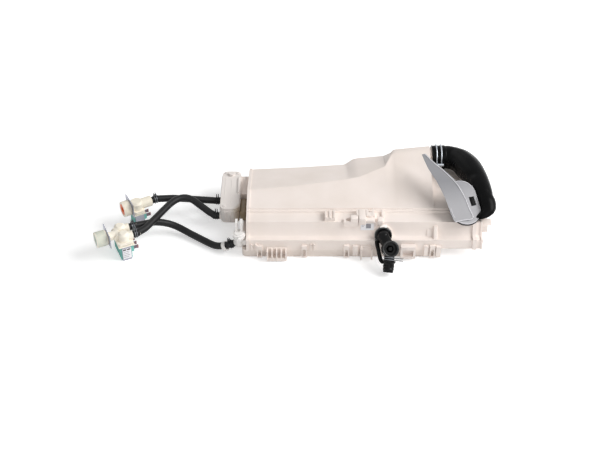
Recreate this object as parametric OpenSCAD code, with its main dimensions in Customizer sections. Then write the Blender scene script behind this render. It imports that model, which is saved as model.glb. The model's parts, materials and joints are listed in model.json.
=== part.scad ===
// Washing machine dispenser housing with its valves, hoses, drain elbow and
// outlet spout. It lies upside down on its distributor cover, as it would on
// a bench. X runs to the drawer mouth, Y away from the long near side, Z up.
// The origin is the middle of the cover's flat face.

/* [Housing] */
// Length from the rear wall to the front of the drawer mouth
housing_l = 390; // [370:5:420]
// Width over the two long walls
housing_w = 190; // [180:2:200]
// Wall thickness of the moulded housing
wall = 2.5; // [2:0.5:3.5]
// Distance from the origin back to the rear wall
rear_x = 158; // [150:1:166]
// Height of the rim ledge along the near side
ledge_z = 37; // [34:1:40]
// Height of the inclined near wall above the ledge
incline_h = 23; // [20:1:26]
// Height of each of the two small steps on the strip
step_h = 3; // [2:0.5:4]
// Height of the drain funnel's crown above the flat top
crown_h = 35; // [33:1:38]
// Radius of the funnel crown
crown_r = 22; // [20:0.5:24]
// Distance from the origin forward to the drain funnel's end wall
funnel_x = 154; // [150:1:160]
// Height of the front section's underside
mouth_z = 18.5; // [18:0.5:20]
// How far the flange round the drawer mouth stands out
flange_out = 3; // [2:0.5:3.5]

/* [Cover] */
// Length of the distributor cover
cover_l = 331; // [325:1:334]
// Width of the cover below its rim
cover_w = 186; // [176:2:196]
// Height of the cover's rim top, where the housing sits
cover_h = 16; // [14:0.5:18]
// Thickness of the rim that runs round the cover
cover_rim_t = 5; // [3:0.5:6]
// Skin thickness of the cover
cover_skin = 2.5; // [2:0.5:3]
// Thickness of the nozzle plate over the water channels
nozzle_t = 2; // [1.5:0.5:3]
// Diameter of each spray hole
nozzle_d = 3; // [2:0.5:4]

/* [Rear manifold] */
// Length of the water manifold across the housing
manifold_w = 104; // [96:2:108]
// Depth of the manifold along the hoses
manifold_d = 32; // [28:1:36]
// Height of the manifold
manifold_h = 30; // [26:1:34]
// Distance between the two hose ports
port_pitch = 40; // [36:1:44]

/* [Hoses] */
// Outer diameter of the three water hoses
hose_od = 12; // [11:0.5:12.5]
// Wire diameter of the small hose clamps
clamp_wire = 1.4; // [1:0.2:1.8]

/* [Drain] */
// Outer diameter of the drain spigot
spigot_od = 34; // [32:0.5:35]
// Wall of the drain spigot and of the elbow's cuff
drain_wall = 3; // [2.5:0.5:3.5]
// Wire diameter of the drain clamp
drain_wire = 2.4; // [2:0.2:3]
// Wall of the grey outlet spout
spout_wall = 2.2; // [2:0.2:3]

/* [Dosing connector] */
// Outer diameter of the connector's socket
socket_od = 27; // [25:0.5:29]
// Outer diameter of the connector's barrel
barrel_od = 19; // [18:0.5:20]

/* [Valves] */
// Height of the valves' flow line
flow_z = 42; // [41:0.5:46]
// Outer diameter of the threaded inlet
inlet_od = 26.4; // [26:0.1:27]
// Bore of the threaded inlet
inlet_bore = 20; // [18:0.5:21]
// Distance between the two coils of the double valve
coil_pitch = 21; // [21:0.2:23]
// Height of a coil
coil_h = 26; // [25:0.5:27]
// Diameter of a plunger
plunger_d = 9; // [8:0.2:9.6]
// Radial running clearance of a plunger in its guide tube
plunger_gap = 0.06; // [0.04:0.01:0.09]
// Travel of a plunger
plunger_stroke = 2.5; // [1.5:0.1:3]
// Wire diameter of a return spring
spring_wire = 0.7; // [0.5:0.1:0.8]
// Width of a faston blade
blade_w = 6.3; // [4.8:0.1:6.3]

/* [Hidden] */

slip = 0.1;
ivory = [0.95, 0.91, 0.87];
near_y = -housing_w / 2;
far_y = housing_w / 2;
front_x = housing_l - rear_x;

// Shared shapes

// Turn child's Z axis along the direction d
module along(d) {
    rotate([0, acos(d[2] / norm(d)), atan2(d[1], d[0])]) children();
}

// A block from its lowest to its highest corner
module block(a, b) {
    translate(a) cube(b - a);
}

// A round tube standing on Z
module tube(od, id, h) {
    difference() {
        cylinder(d = od, h = h, $fn = 64);
        translate([0, 0, -1]) cylinder(d = id, h = h + 2, $fn = 64);
    }
}

// A closed ring of round wire
module wire_ring(r, wire) {
    rotate_extrude($fn = 64) translate([r, 0]) circle(d = wire, $fn = 24);
}

// A slab with rounded corners, made of true arcs
module round_slab(l, w, r, h) {
    linear_extrude(h) {
        square([l - 2 * r, w], center = true);
        square([l, w - 2 * r], center = true);
        for (x = [-1, 1], y = [-1, 1])
            translate([x * (l / 2 - r), y * (w / 2 - r)]) circle(r = r, $fn = 48);
    }
}

// A solid through rings of points that all have the same count
module loft(rings) {
    n = len(rings[0]);
    m = len(rings);
    sides = [for (i = [0 : m - 2], j = [0 : n - 1]) each
        let (a = i * n + j, d = i * n + (j + 1) % n, b = a + n, c = d + n) [[a, d, c], [a, c, b]]];
    polyhedron(
        points = [for (ring = rings) each ring],
        faces = concat(sides, [[for (j = [n - 1 : -1 : 0]) j]],
                       [[for (j = [0 : n - 1]) (m - 1) * n + j]]),
        convexity = 10);
}

function unit(v) = v / norm(v);

// A smooth curve through the points p, with k stretches between each two
function spline(p, k) = [
    for (i = [0 : len(p) - 2], s = [0 : k - 1])
        let (a = p[max(i - 1, 0)], b = p[i], c = p[i + 1], d = p[min(i + 2, len(p) - 1)], t = s / k)
        0.5 * (2 * b + (c - a) * t + (2 * a - 5 * b + 4 * c - d) * t * t
               + (3 * b - a - 3 * c + d) * t * t * t),
    p[len(p) - 1]];

// A ring of n points round c, square to the direction t
function ring(c, t, r, n) = oval(c, t, r, r, n);

// The same with a half width and a half height
function oval(c, t, w, h, n) = let (s = unit(cross(t, [0, 0, 1])), u = cross(s, t))
    [for (i = [0 : n - 1]) c + w * cos(360 * i / n) * s + h * sin(360 * i / n) * u];

// A tube along the points p, whose radii r follow them
module sweep(p, r, n) {
    m = len(p) - 1;
    loft([for (i = [0 : m]) ring(p[i], unit(p[min(i + 1, m)] - p[max(i - 1, 0)]), r[i], n)]);
}

// Housing

ledge_w = 10;
foot_w = 9.6;
strip_w = 23;
riser_w = 1.5;
landing_w = 3.4;
strip_z = ledge_z + incline_h;
plateau_y = near_y + ledge_w + foot_w + strip_w + 2 * riser_w + landing_w + 4;
plateau_z = strip_z + 2 * step_h;
crown_z = plateau_z + crown_h;
sky_z = crown_z + 60;
arc_n = 7;

// The ridge line and the far top edge, by their places along the housing
function ridge_y(x) = lookup(x, [[-158, -1], [-69, 7], [10, 16], [31, 20], [76, 42], [90, 73], [154, 73]]);
function ridge_z(x) = lookup(x, [[-158, plateau_z + 2], [-69, plateau_z + 6], [31, plateau_z + 14],
    [76, crown_z - 15], [96, crown_z - 7], [154, crown_z]]);
function ridge_r(x) = lookup(x, [[-158, 4], [60, 5], [76, 12], [92, crown_r], [154, crown_r]]);
function far_z(x) = lookup(x, [[-158, ledge_z + 3], [-69, ledge_z + 8], [8, ledge_z + 14], [14, ledge_z + 18],
    [22, ledge_z + 25], [30, ledge_z + 28], [76, ledge_z + 33], [84, ledge_z + 37], [92, ledge_z + 41],
    [98, ledge_z + 43], [154, ledge_z + 50]]);

// Angle, from straight up, of the point where a line from p touches the circle (c, r)
function touch(p, c, r, side) =
    let (d = p - c, l = max(norm(d), r * 1.01)) atan2(d[0], d[1]) - side * acos(r / l);

// The near side's profile, from the bottom z up to the second step, as [y, z]
function near_side(z) = let (y = near_y + ledge_w, h = incline_h) [
    [near_y, z], [near_y, ledge_z], [y, ledge_z],
    [y + foot_w * 0.30, ledge_z + h * 0.10], [y + foot_w * 0.58, ledge_z + h * 0.36],
    [y + foot_w * 0.82, ledge_z + h * 0.70], [y + foot_w, strip_z],
    [y + foot_w + strip_w, strip_z], [y + foot_w + strip_w + riser_w, strip_z + step_h],
    [y + foot_w + strip_w + riser_w + landing_w, strip_z + step_h]];

// The section below open sky: the second step's riser runs on up, the far wall is upright
function under_sky(z) = let (p = near_side(z), q = p[len(p) - 1], up = (sky_z - q[1]) / step_h)
    concat(p, [[q[0] + up * riser_w, sky_z], [far_y, sky_z], [far_y, z]]);

// The top of the housing at x, from the second step over the ridge to the far edge
function top_line(x) = let (
        c = [ridge_y(x), ridge_z(x) - ridge_r(x)], r = ridge_r(x),
        p = [plateau_y, plateau_z], q = [far_y - 1.5, far_z(x)],
        a = touch(p, c, r, -1), b = touch(q, c, r, 1))
    concat([[plateau_y - 8, plateau_z], p],
        [for (i = [0 : arc_n]) let (t = a + (b - a) * i / arc_n) c + r * [sin(t), cos(t)]],
        [q, q + [1.5, -3]]);

// The front section, a lower box round the drawer mouth, a touch inside the main section
function front_section() = concat(inset(near_side(mouth_z), seam),
    [[plateau_y - 4, plateau_z - 1], [0, strip_z + 4],
     [far_y - 8, strip_z - 3], [far_y - seam, strip_z - 9], [far_y - seam, mouth_z]]);
seam = 0.3;

// Move each point of an open profile inwards by t
function inset(p, t) = let (m = len(p) - 1) [for (i = [0 : m]) let (
        a = unit(p[max(i, 1)] - p[max(i, 1) - 1]), b = unit(p[min(i + 1, m)] - p[min(i + 1, m) - 1]),
        na = [a[1], -a[0]], nb = [b[1], -b[0]], n = unit(na + nb))
    p[i] + n * t / (n * na)];

function at_x(x, p) = [for (q = p) [x, q[0], q[1]]];
function drop_ends(p, z) = [for (i = [0 : len(p) - 1]) (i == 0 || i == len(p) - 1) ? [p[i][0], z] : p[i]];

station_x = [-rear_x - 2, -69, 8, 14, 22, 31, 46, 60, 68, 76, 80, 84, 88, 92, 98, 125, funnel_x + 2];

// A section in Y and Z, drawn out along X
module prism(x0, x1, p) translate([x0, 0, 0]) rotate([90, 0, 90]) linear_extrude(x1 - x0) polygon(p);

// Everything above the top, set down into it by t
module sky(t) {
    loft([for (x = station_x) let (p = inset(top_line(x), t), m = len(p) - 1, q = p[m - 1], d = p[m] - q)
        at_x(x, concat([[plateau_y - 8, sky_z + 5], [far_y + 20, sky_z + 5], q + 5 * d],
            [for (i = [m - 1 : -1 : 0]) p[i]]))]);
}

module main_outer() difference() {
    prism(-rear_x, funnel_x, under_sky(cover_h));
    sky(0);
}

module main_inner() difference() {
    prism(-rear_x + wall, funnel_x - wall, drop_ends(inset(under_sky(cover_h), wall), cover_h - 5));
    sky(wall);
}

// The band round the rear end
module rear_band() {
    p = concat(near_side(cover_h), [for (i = [1 : arc_n + 4]) top_line(-rear_x)[i]], [[far_y, cover_h]]);
    prism(-rear_x, -rear_x + 5, drop_ends(inset(p, -1.5), cover_h));
}

module front_outer() {
    x0 = funnel_x - wall / 2;
    for (s = [[x0, front_x, 0], [front_x - 16.5, front_x - 10, flange_out], [front_x - 3, front_x, 1.5]])
        prism(s[0], s[1], drop_ends(inset(front_section(), -s[2]), mouth_z));
    block([funnel_x - 1, near_y + 1, cover_h], [cover_end, far_y - 1, mouth_z + 1]);
}

module front_inner() {
    p = inset(front_section(), wall);
    prism(funnel_x - wall - 1, front_x + 1, drop_ends(p, mouth_z + wall));
}

spigot_y = far_y - crown_r + 1;
spigot_z = crown_z - spigot_od / 2 - 2;
spigot_l = 26;
cover_end = cover_l / 2;
rim_gap = 0.3;

// Snap clips that hook over the cover's rim
clip_x = [-136, -62, 8, 150];
clip_w = 9;
module snap_clip(x) difference() {
    block([x - clip_w / 2, near_y - 4.5, 3], [x + clip_w / 2, near_y + 1, cover_h + 12]);
    block([x - clip_w / 2 + 2, near_y - 6, 5.5], [x + clip_w / 2 - 2, near_y + 2, cover_h + 4]);
}

// A block of upright ribs joined by a back plate, on the rim below the near wall
module rib_block(x0, x1, n, out, z0, z1) {
    t = 2.4;
    block([x0, near_y - 3, z0], [x1, near_y + 1, z1]);
    for (i = [0 : n - 1]) let (x = x0 + (x1 - x0 - t) * i / (n - 1))
        block([x, near_y - out, z0], [x + t, near_y, z1]);
}

module rim_features() difference() {
    union() {
        for (x = clip_x) snap_clip(x);
        rib_block(-124, -91, 5, 13, 2, 22);
        for (x = [-150, -143, -52, -47]) block([x, near_y - 3, cover_h + 1], [x + 2.5, near_y + 1, 30]);
        rib_block(18, 27, 4, 4, 7, 27);
        difference() {
            rib_block(31, 51, 2, 10, 3, 26);
            block([36, near_y - 20, 8], [46, near_y - 3, 20]);
        }
        difference() {
            block([97, near_y - 9, 4], [122, near_y + 1, 29]);
            block([101, near_y - 20, 9], [118, near_y - 2, 22]);
        }
        rib_block(136, 143, 3, 4, 7, 27);
        block([156, near_y - 5, 4], [164, near_y + 1, 26]);
    }
    // Room for the cover's rim
    block([-rear_x, near_y - rim_gap, -1], [cover_end + 1, near_y + 2, cover_h]);
}

// Ribs, hooks and pads on the flat strip and the inclined wall
module strip_features() {
    z = strip_z - 1;
    y = near_y + ledge_w + foot_w;
    for (x = [-28, -21, -14]) block([x, y + 2, z], [x + 3, y + 22, z + 9]);
    block([-28, y + 10, z], [-11, y + 13, z + 6]);
    // Hook with an eye
    difference() {
        block([3, y - 4, z - 6], [26, y + 6, z + 5]);
        block([7, y - 2, z - 7], [22, y + 4, z + 6]);
    }
    difference() {
        block([24, y + 5, z], [54, y + 22, z + 11]);
        block([28, y + 4, z + 2.5], [40, y + 19, z + 12]);
        block([44, y + 4, z + 2.5], [50, y + 23, z + 12]);
    }
    block([66, y + 10, z], [69, y + 28, z + 5]);
}

// Pad that stiffens the inclined wall
module wall_pad(x0, x1, z0, z1, out) {
    y = near_y + ledge_w;
    hull() {
        block([x0, y - out + 3, z0], [x1, y + 4, z0 + 0.5]);
        block([x0, y + foot_w - out, z1 - 0.5], [x1, y + foot_w + 1, z1]);
    }
}

module housing_shell() color(ivory) {
    difference() {
        union() {
            main_outer();
            rear_band();
            front_outer();
            // Drain spigot
            translate([funnel_x - wall, spigot_y, spigot_z]) rotate([0, 90, 0])
                cylinder(d = spigot_od, h = spigot_l, $fn = 72);
            // Boss for the dosing connector
            translate(collar_at) along(-collar_dir) cylinder(d = collar_od + 3, h = 12, $fn = 72);
            wall_pad(141, 152, ledge_z, ledge_z + 10, 4);
        }
        main_inner();
        front_inner();
        translate([funnel_x - wall - 10, spigot_y, spigot_z]) rotate([0, 90, 0])
            cylinder(d = spigot_od - 2 * drain_wall, h = spigot_l + 20, $fn = 72);
        // Seat and bore of the dosing connector
        translate(collar_at) along(collar_dir) cylinder(d = collar_od + 1, h = 12, $fn = 72);
        translate(collar_at) along(-collar_dir) translate([0, 0, -1])
            cylinder(d = barrel_od + 2 * slip, h = 16, $fn = 64);
        // Water passages from the manifold and the third inlet
        for (y = duct_y) block([-rear_x - 3, y - duct_w / 2 + wall, duct_z + wall],
            [-rear_x + wall + 1, y + duct_w / 2 - wall, duct_z + duct_h - wall]);
        passage(-rear_x - 3, -rear_x + wall + 1, 0);
    }
    rim_features();
    strip_features();
}

// Cover

channel_h = cover_h - 4 - cover_skin;
channel_y = [-62, -31, 0, 31, 62];
cross_x = [-120, -40, 40, 120];

module distributor_cover() color(ivory * 0.97) {
    difference() {
        union() {
            round_slab(cover_l, cover_w, 8, cover_h);
            translate([0, 0, cover_h - cover_rim_t]) round_slab(cover_l, cover_w + 4, 9, cover_rim_t);
        }
        translate([0, 0, cover_skin]) round_slab(cover_l - 6, cover_w - 6, 6, cover_h);
    }
    // Ribs between the water channels, which carry the nozzle plate
    for (y = channel_y)
        block([-cover_end + 2, y - 1, cover_skin - 1], [cover_end - 2, y + 1, cover_skin + channel_h]);
    for (x = cross_x)
        block([x - 1, -cover_w / 2 + 2, cover_skin - 1], [x + 1, cover_w / 2 - 2, cover_skin + channel_h / 2]);
}

spray_pitch = 24;
module nozzle_plate() color(ivory * 0.96) translate([0, 0, cover_skin + channel_h]) difference() {
    round_slab(cover_l - 6 - 2 * slip, cover_w - 6 - 2 * slip, 6, nozzle_t);
    for (x = [-5 : 5], y = [-1.5 : 1 : 1.5]) translate([x * spray_pitch, y * 31, -1])
        cylinder(d = nozzle_d, h = nozzle_t + 2, $fn = 24);
}

// Rear manifold and the third inlet

// They stand clear of the cover's end and, by the third inlet's collar, of the housing's rear wall
pot_collar_d = 21;
elbow_in = 4.5;
elbow_gap = 1.5;
tail_x = max(cover_end, rear_x + pot_collar_d / 2 + elbow_gap - elbow_in);
manifold_gap = 6.5;
manifold_x = -tail_x - manifold_gap;
manifold_y = 28;
manifold_z = 16;
manifold_r = 9;
knob_d = 10;
knob_h = 5;
port_y = [manifold_y - 21 - port_pitch / 2, manifold_y - 21 + port_pitch / 2];
port_z = manifold_z + 7;
port_l = 12;
port_wall = 1.2;
duct_z = cover_h + 2;
duct_w = 18;
duct_h = 14;
duct_y = [manifold_y - 20, manifold_y + 20];
spigot_d = hose_od - 3;

// A slab with the manifold's outline, wider by t all round, from z up over its underside
module manifold_slab(t, r, z, h) translate([manifold_x - manifold_d / 2, manifold_y, manifold_z + z])
    round_slab(manifold_d + 2 * t, manifold_w + 2 * t, r, h);

module rear_manifold() color([0.90, 0.90, 0.88]) {
    difference() {
        union() {
            manifold_slab(0, manifold_r, 0, manifold_h);
            // Bead round the welded lid
            manifold_slab(bead_out, manifold_r + bead_out, manifold_h - bead_down, bead_h);
            for (y = port_y) translate([manifold_x - manifold_d + 1, y, port_z]) rotate([0, -90, 0]) {
                cylinder(d = spigot_d + 5, h = 3, $fn = 48);
                cylinder(d = spigot_d, h = port_l, $fn = 48);
            }
            for (y = duct_y)
                block([manifold_x - 2, y - duct_w / 2, duct_z], [-rear_x, y + duct_w / 2, duct_z + duct_h]);
            translate([manifold_x - manifold_d / 2, manifold_y + manifold_w / 2 - knob_d, manifold_z])
                cylinder(d = knob_d, h = manifold_h + knob_h - 1, $fn = 48);
        }
        manifold_slab(-wall, manifold_r - wall / 2, wall, manifold_h - 2 * wall);
        for (y = port_y) translate([manifold_x - manifold_d + 8, y, port_z]) rotate([0, -90, 0])
            cylinder(d = spigot_d - 2 * port_wall, h = port_l + 12, $fn = 48);
        for (y = duct_y) block([manifold_x - 6, y - duct_w / 2 + wall, duct_z + wall],
            [-rear_x + 1, y + duct_w / 2 - wall, duct_z + duct_h - wall]);
    }
}

// The bead round the manifold's lid: how far out and down it lies, and its height
bead_out = 1.2;
bead_down = 8;
bead_h = 3;

// The third inlet: a round pot with a collar, a spigot, a passage to the shell and two posts
pot_d = 15;
pot_h = 26;
pot_collar_h = 7;
nub_d = 6;
nub_out = 2.5;
elbow_x = -tail_x - elbow_in;
elbow_y = near_y + 13;
elbow_z = cover_h + 8;
elbow_at = [elbow_x, elbow_y, elbow_z];
elbow_dir = [-1, 0, -0.45];
elbow_spigot_l = 20;
post_w = 4;
post_depth = 12;
post_top = 60;
post_in = 3;
passage_w = 6;
passage_h = 6;
passage_wall = 2;

// The third inlet's passage from x0 to x1, wider by t all round
module passage(x0, x1, t) {
    z = elbow_z - 2;
    block([x0, elbow_y - passage_w / 2 - t, z - t], [x1, elbow_y + passage_w / 2 + t, z + passage_h + t]);
}

module port_elbow() color([0.93, 0.93, 0.92]) {
    difference() {
        union() {
            translate([elbow_x, elbow_y, cover_h + 0.5]) {
                cylinder(d = pot_d, h = pot_h, $fn = 48);
                translate([0, 0, pot_h - pot_collar_h - 1])
                    cylinder(d = pot_collar_d, h = pot_collar_h, $fn = 48);
                translate([0, 0, pot_h - pot_collar_h + 2]) rotate([90, 0, 0])
                    cylinder(d = nub_d, h = pot_collar_d / 2 + nub_out, $fn = 48);
            }
            translate(elbow_at) along(elbow_dir) cylinder(d = spigot_d, h = elbow_spigot_l, $fn = 48);
            passage(elbow_x, -rear_x, passage_wall);
            for (side = [-1, 1]) let (x = elbow_x + side * post_w, y = elbow_y + post_in)
                block([x - post_w / 2, y, cover_h + pot_h - post_w],
                      [x + post_w / 2, y + post_depth, post_top]);
        }
        translate(elbow_at) along(elbow_dir)
            cylinder(d = spigot_d - 2 * port_wall, h = elbow_spigot_l + 4, $fn = 48);
        passage(elbow_x, -rear_x + 1, 0);
    }
}

// Clip round the third hose, on its way up to the elbow
hose_clip_l = 6;
module hose_clip() color([0.93, 0.93, 0.92]) on_route(prewash_route, len(prewash_route) - 3) difference() {
    translate([0, 0, -hose_clip_l / 2]) cylinder(d = hose_od + 4, h = hose_clip_l, $fn = 48);
    translate([0, 0, -hose_clip_l]) cylinder(d = hose_od + 2 * slip, h = 2 * hose_clip_l, $fn = 48);
}

// The bare label on the inclined near wall
module sticker() color([0.96, 0.96, 0.96]) {
    y0 = near_y + ledge_w + foot_w * 0.58;
    z0 = ledge_z + (strip_z - ledge_z) * 0.36;
    y1 = near_y + ledge_w + foot_w;
    a = atan2(strip_z - z0, y1 - y0);
    translate([31, y0 - 0.2, z0]) rotate([a, 0, 0]) block([0, 0.8, 0.1], [22, 14, 0.4]);
}

// Drain elbow, its clamp and the outlet spout

cuff_r = spigot_od / 2 + drain_wall;
cuff_x = funnel_x + 4;
cuff_end = funnel_x - wall + spigot_l + 2;

// The elbow's route, its radii, and how flat each section is
drain_route = [[cuff_end - 1, spigot_y, spigot_z], [cuff_end + 6, spigot_y, spigot_z],
    for (p = [[197, 68, 1], [208, 55, 4], [218, 33, 5.5], [226, 8, 6], [232, -15, 4.5], [236, -37, 2.5],
        [240, -55, -2], [238, -64, -5.5], [229, -68, -10.5], [219, -66, -13.5]]) p + [0, 0, spigot_z]];
drain_radii = [cuff_r - 0.2, cuff_r - 0.2, cuff_r, cuff_r + 1, cuff_r + 2, cuff_r, cuff_r - 2.5, cuff_r - 4.5,
    cuff_r - 6, cuff_r - 7, cuff_r - 7.5, cuff_r - 8];
drain_flat = [1, 1, 1, 1, 1, 1, 1, 1, 0.9, 0.8, 0.45, 0.28];

// A hollow tube of oval sections along the points p
module pipe(p, r, flat, t, n) {
    m = len(p) - 1;
    rings = [for (d = [0, t]) each [for (i = [0 : m])
        let (way = unit(p[min(i + 1, m)] - p[max(i - 1, 0)]))
        oval(p[i], way, r[i] - d, r[i] * flat[i] - d * sqrt(flat[i]), n)]];
    polyhedron(
        points = [for (ring = rings) each ring],
        faces = concat(
            [for (i = [0 : m - 1], j = [0 : n - 1]) each
                let (k = (j + 1) % n, a = i * n + j, c = i * n + k) [[a, c, c + n], [a, c + n, a + n]]],
            [for (i = [0 : m - 1], j = [0 : n - 1]) each
                let (k = (j + 1) % n, a = (m + 1 + i) * n + j, c = (m + 1 + i) * n + k)
                [[c, a, a + n], [c, a + n, c + n]]],
            [for (j = [0 : n - 1]) each
                let (k = (j + 1) % n, b = (m + 1) * n) [[k, j, b + j], [k, b + j, b + k]]],
            [for (j = [0 : n - 1]) each
                let (k = (j + 1) % n, a = m * n, b = (m + 1 + m) * n)
                [[a + j, a + k, b + k], [a + j, b + k, b + j]]]),
        convexity = 10);
}

module drain_hose() color([0.12, 0.12, 0.13]) {
    translate([cuff_x, spigot_y, spigot_z]) rotate([0, 90, 0])
        tube(2 * cuff_r, spigot_od + 2 * slip, cuff_end - cuff_x);
    difference() {
        union() {
            pipe(drain_route, drain_radii, drain_flat, drain_wall, 20);
            // Oval lip under the spout's flange plate
            translate(plate_at) along(plate_dir) translate([0, 0, -lip_t]) difference() {
                plate_slab(lip_out, lip_t + 1);
                translate([0, 0, -1]) plate_slab(-lip_in, lip_t + 3);
            }
        }
        translate(plate_at) along(plate_dir) plate_slab(lip_out + slip, 16);
    }
}

// The outline of the spout's flange plate, wider by t all round
module plate_slab(t, h) round_slab(plate_l + 2 * t, plate_w + 2 * t, plate_w / 2 + t - 0.5, h);

// Two rings of wire, drawn together by a bolt through their ears
drain_clamp_in = 12;
drain_clamp_pitch = 8;
ear_angle = -95;
ear_l = 8;
ear_thinner = 0.3;
bolt_d = 5;
bolt_l = 14;
module drain_clamp() color([0.75, 0.76, 0.78])
    translate([cuff_x + drain_clamp_in, spigot_y, spigot_z]) rotate([0, 90, 0]) {
        r = cuff_r + drain_wire / 2;
        half = drain_clamp_pitch / 2;
        for (z = [-half, half]) translate([0, 0, z]) wire_ring(r, drain_wire);
        for (z = [-half, half]) rotate(ear_angle) translate([r, 0, z]) rotate([0, 90, 0])
            cylinder(d = drain_wire - ear_thinner, h = ear_l, $fn = 24);
        rotate(ear_angle) translate([r + ear_l - bolt_d / 2 - 0.5, 0, -bolt_l / 2])
            cylinder(d = bolt_d, h = bolt_l, $fn = 24);
    }

// The flange plate's middle, the way it faces, and its size
plate_at = [200, -54, spigot_z + 1.5];
plate_dir = [0.15, -0.5, 0.85];
plate_l = 77;
plate_w = 50;
lip_t = 2.5;
lip_out = 1.5;
lip_in = 6;

// The blade's left edge and its ridge, tip first
blade_left = [[134, 15, 131], [143, -10, 121], [156, -28, 109],
    [170, -55, 92], [178, -75, 77], [184, -88, 70]];
blade_ridge = [[139, 17, 131], [152, 2, 125], [172, -15, 116], [189, -32, 106], [201, -49, 93],
    [208, -65, 82], [215, -80, 72]];

module outlet_spout() color([0.62, 0.62, 0.64]) {
    left = spline(blade_left, 2);
    right = spline(blade_ridge, 2);
    back = [9, 12, -10];
    m = len(left) - 1;
    difference() {
        loft([for (i = [0 : m]) let (l = left[i], k = i / m * (len(right) - 1), r = right[round(k)],
                u = unit(r - l), n = unit(back),
                b = r + back * lookup(i / m, [[0, 0.2], [0.4, 0.5], [1, 0.5]]))
            [r, b, b - u * spout_wall, r + (n - u) * spout_wall, l + n * spout_wall, l]]);
        // It ends on the lip that carries the plate
        translate(plate_at) along(plate_dir) translate([0, 0, -20]) plate_slab(lip_out + slip, 20);
    }
    // Oval flange plate at the base, with its slot
    translate(plate_at) along(plate_dir) difference() {
        plate_slab(0, spout_wall);
        translate([-7, 11, -1]) cube([16, 9, spout_wall + 2]);
    }
}

// Dosing connector on the near wall

collar_x = 68;
collar_in = 9;
collar_up = 4.5;
collar_at = [collar_x, near_y + collar_in, ledge_z + collar_up];
collar_dir = unit([0, -0.92, 0.39]);
collar_od = 28;
collar_t = 6;
bend_gap = 5;
socket_off = [10, -30, -5];
socket_at = collar_at + socket_off;
socket_dir = [0.1, -0.75, 0.65];
socket_l = 16;
socket_wall = 3.5;
cup_depth = 9;
plug_dir = unit([-3.5, -26, -29]);
plug_r = 9;
plug_l = 20;
neck_od = 17;
neck_l = 19;
bend_at = collar_at + (collar_t + bend_gap) * collar_dir;
strap_r = 1.8;
barrel_tail = 8;
ball_over = 0.6;
clamp_pitch = 3.6;
clamp_ear_l = 14;

module dosing_collar() color([0.13, 0.13, 0.14])
    translate(collar_at) along(collar_dir) tube(collar_od, barrel_od + 2 * slip, collar_t);

module dosing_elbow() color([0.11, 0.11, 0.12]) difference() {
    d = socket_at - bend_at;
    union() {
        translate(collar_at - barrel_tail * collar_dir) along(collar_dir)
            cylinder(d = barrel_od, h = barrel_tail + collar_t + bend_gap, $fn = 64);
        translate(bend_at) sphere(d = barrel_od + ball_over, $fn = 64);
        translate(bend_at) along(d) cylinder(d = barrel_od, h = norm(d), $fn = 64);
        translate(socket_at) along(socket_dir) translate([0, 0, -socket_l / 2])
            cylinder(d = socket_od, h = socket_l, $fn = 64);
        translate(socket_at) along(plug_dir) cylinder(d = neck_od, h = neck_l, $fn = 64);
    }
    // The cup that takes the dosing hose's end
    translate(socket_at) along(socket_dir)
        cylinder(d = socket_od - 2 * socket_wall, h = cup_depth + 2, $fn = 64);
}

module dosing_clamp() color([0.75, 0.76, 0.78])
    translate(socket_at + (neck_l - clamp_pitch / 2 - 1) * plug_dir) along(plug_dir) {
        r = neck_od / 2 + clamp_wire / 2;
        for (z = [-clamp_pitch / 2, clamp_pitch / 2]) translate([0, 0, z]) {
            wire_ring(r, clamp_wire);
            // Straight ears of the wire
            rotate(90) translate([r, 0, 0]) rotate([0, 90, 0])
                cylinder(d = clamp_wire, h = clamp_ear_l, $fn = 24);
        }
    }

// The plug on the connector's free end, with the strap that ties it to the collar
module dosing_plug() color([0.12, 0.12, 0.13]) {
    plug_at = socket_at + neck_l * plug_dir;
    translate(plug_at) along(plug_dir)
        rotate_extrude($fn = 64) polygon([[0, 0], [plug_r + 2, 0], [plug_r + 2, 3.5], [plug_r + 0.2, 4.5],
            [plug_r, plug_l * 0.6], [plug_r * 0.9, plug_l * 0.85], [plug_r * 0.72, plug_l * 0.97],
            [0, plug_l]]);
    // Round strap from beside the collar into the plug's flange
    strap = [collar_at + [-15.8, -5.4, 0.5], collar_at + [-14.5, -13, -2.5], collar_at + [-11.5, -22, -7],
        collar_at + [-9, -32, -12], plug_at + [-11.5, -2, -0.5], plug_at + [-8, -2, -1]];
    sweep(strap, [for (p = strap) strap_r], 8);
}

// Water hoses

// Their routes, from behind the manifold's rear face
rear_face = manifold_x - manifold_d;
function from_rear(p) = [for (q = p) q + [rear_face, 0, 0]];
hot_route = from_rear([[-118, 4, flow_z], [-107, 10, flow_z], [-94, 15, 40], [-80, 19, 36], [-63, 21, 32],
    [-46, 24, 29], [-30, 26, 26], [-15, port_y[1], port_z], [0, port_y[1], port_z]]);
main_route = from_rear([[-142, -86, flow_z], [-131, -81, flow_z], [-120, -70, flow_z], [-109, -49, 43],
    [-99, -29, 44], [-88, -9, 45], [-75, 6, 45], [-60, 12, 44], [-44, 8, 39], [-30, -4, 30],
    [-15, port_y[0], port_z], [0, port_y[0], port_z]]);
prewash_route = concat(
    from_rear([[-150, -67, flow_z], [-138, -61, flow_z - 1], [-126, -51, 38], [-113, -40, 33],
        [-98, -33, 26], [-82, -30, 18], [-66, -34, 11], [-50, -44, 7], [-36, -55, 6], [-20, -67, 6],
        [-6, -76, 6.5], [5, -80, 9]]),
    [elbow_at + 19 * elbow_dir, elbow_at + 8 * elbow_dir]);

// Child pieces set at the middle of the route's stretch i, with Z along it
module on_route(route, i) translate((route[i] + route[i + 1]) / 2) along(route[i + 1] - route[i]) children();

module water_hose(route) color([0.10, 0.10, 0.11])
    sweep(route, [for (p = route) hose_od / 2], 10);

module hot_hose() water_hose(hot_route);
module main_hose() water_hose(main_route);
module prewash_hose() water_hose(prewash_route);

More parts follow.
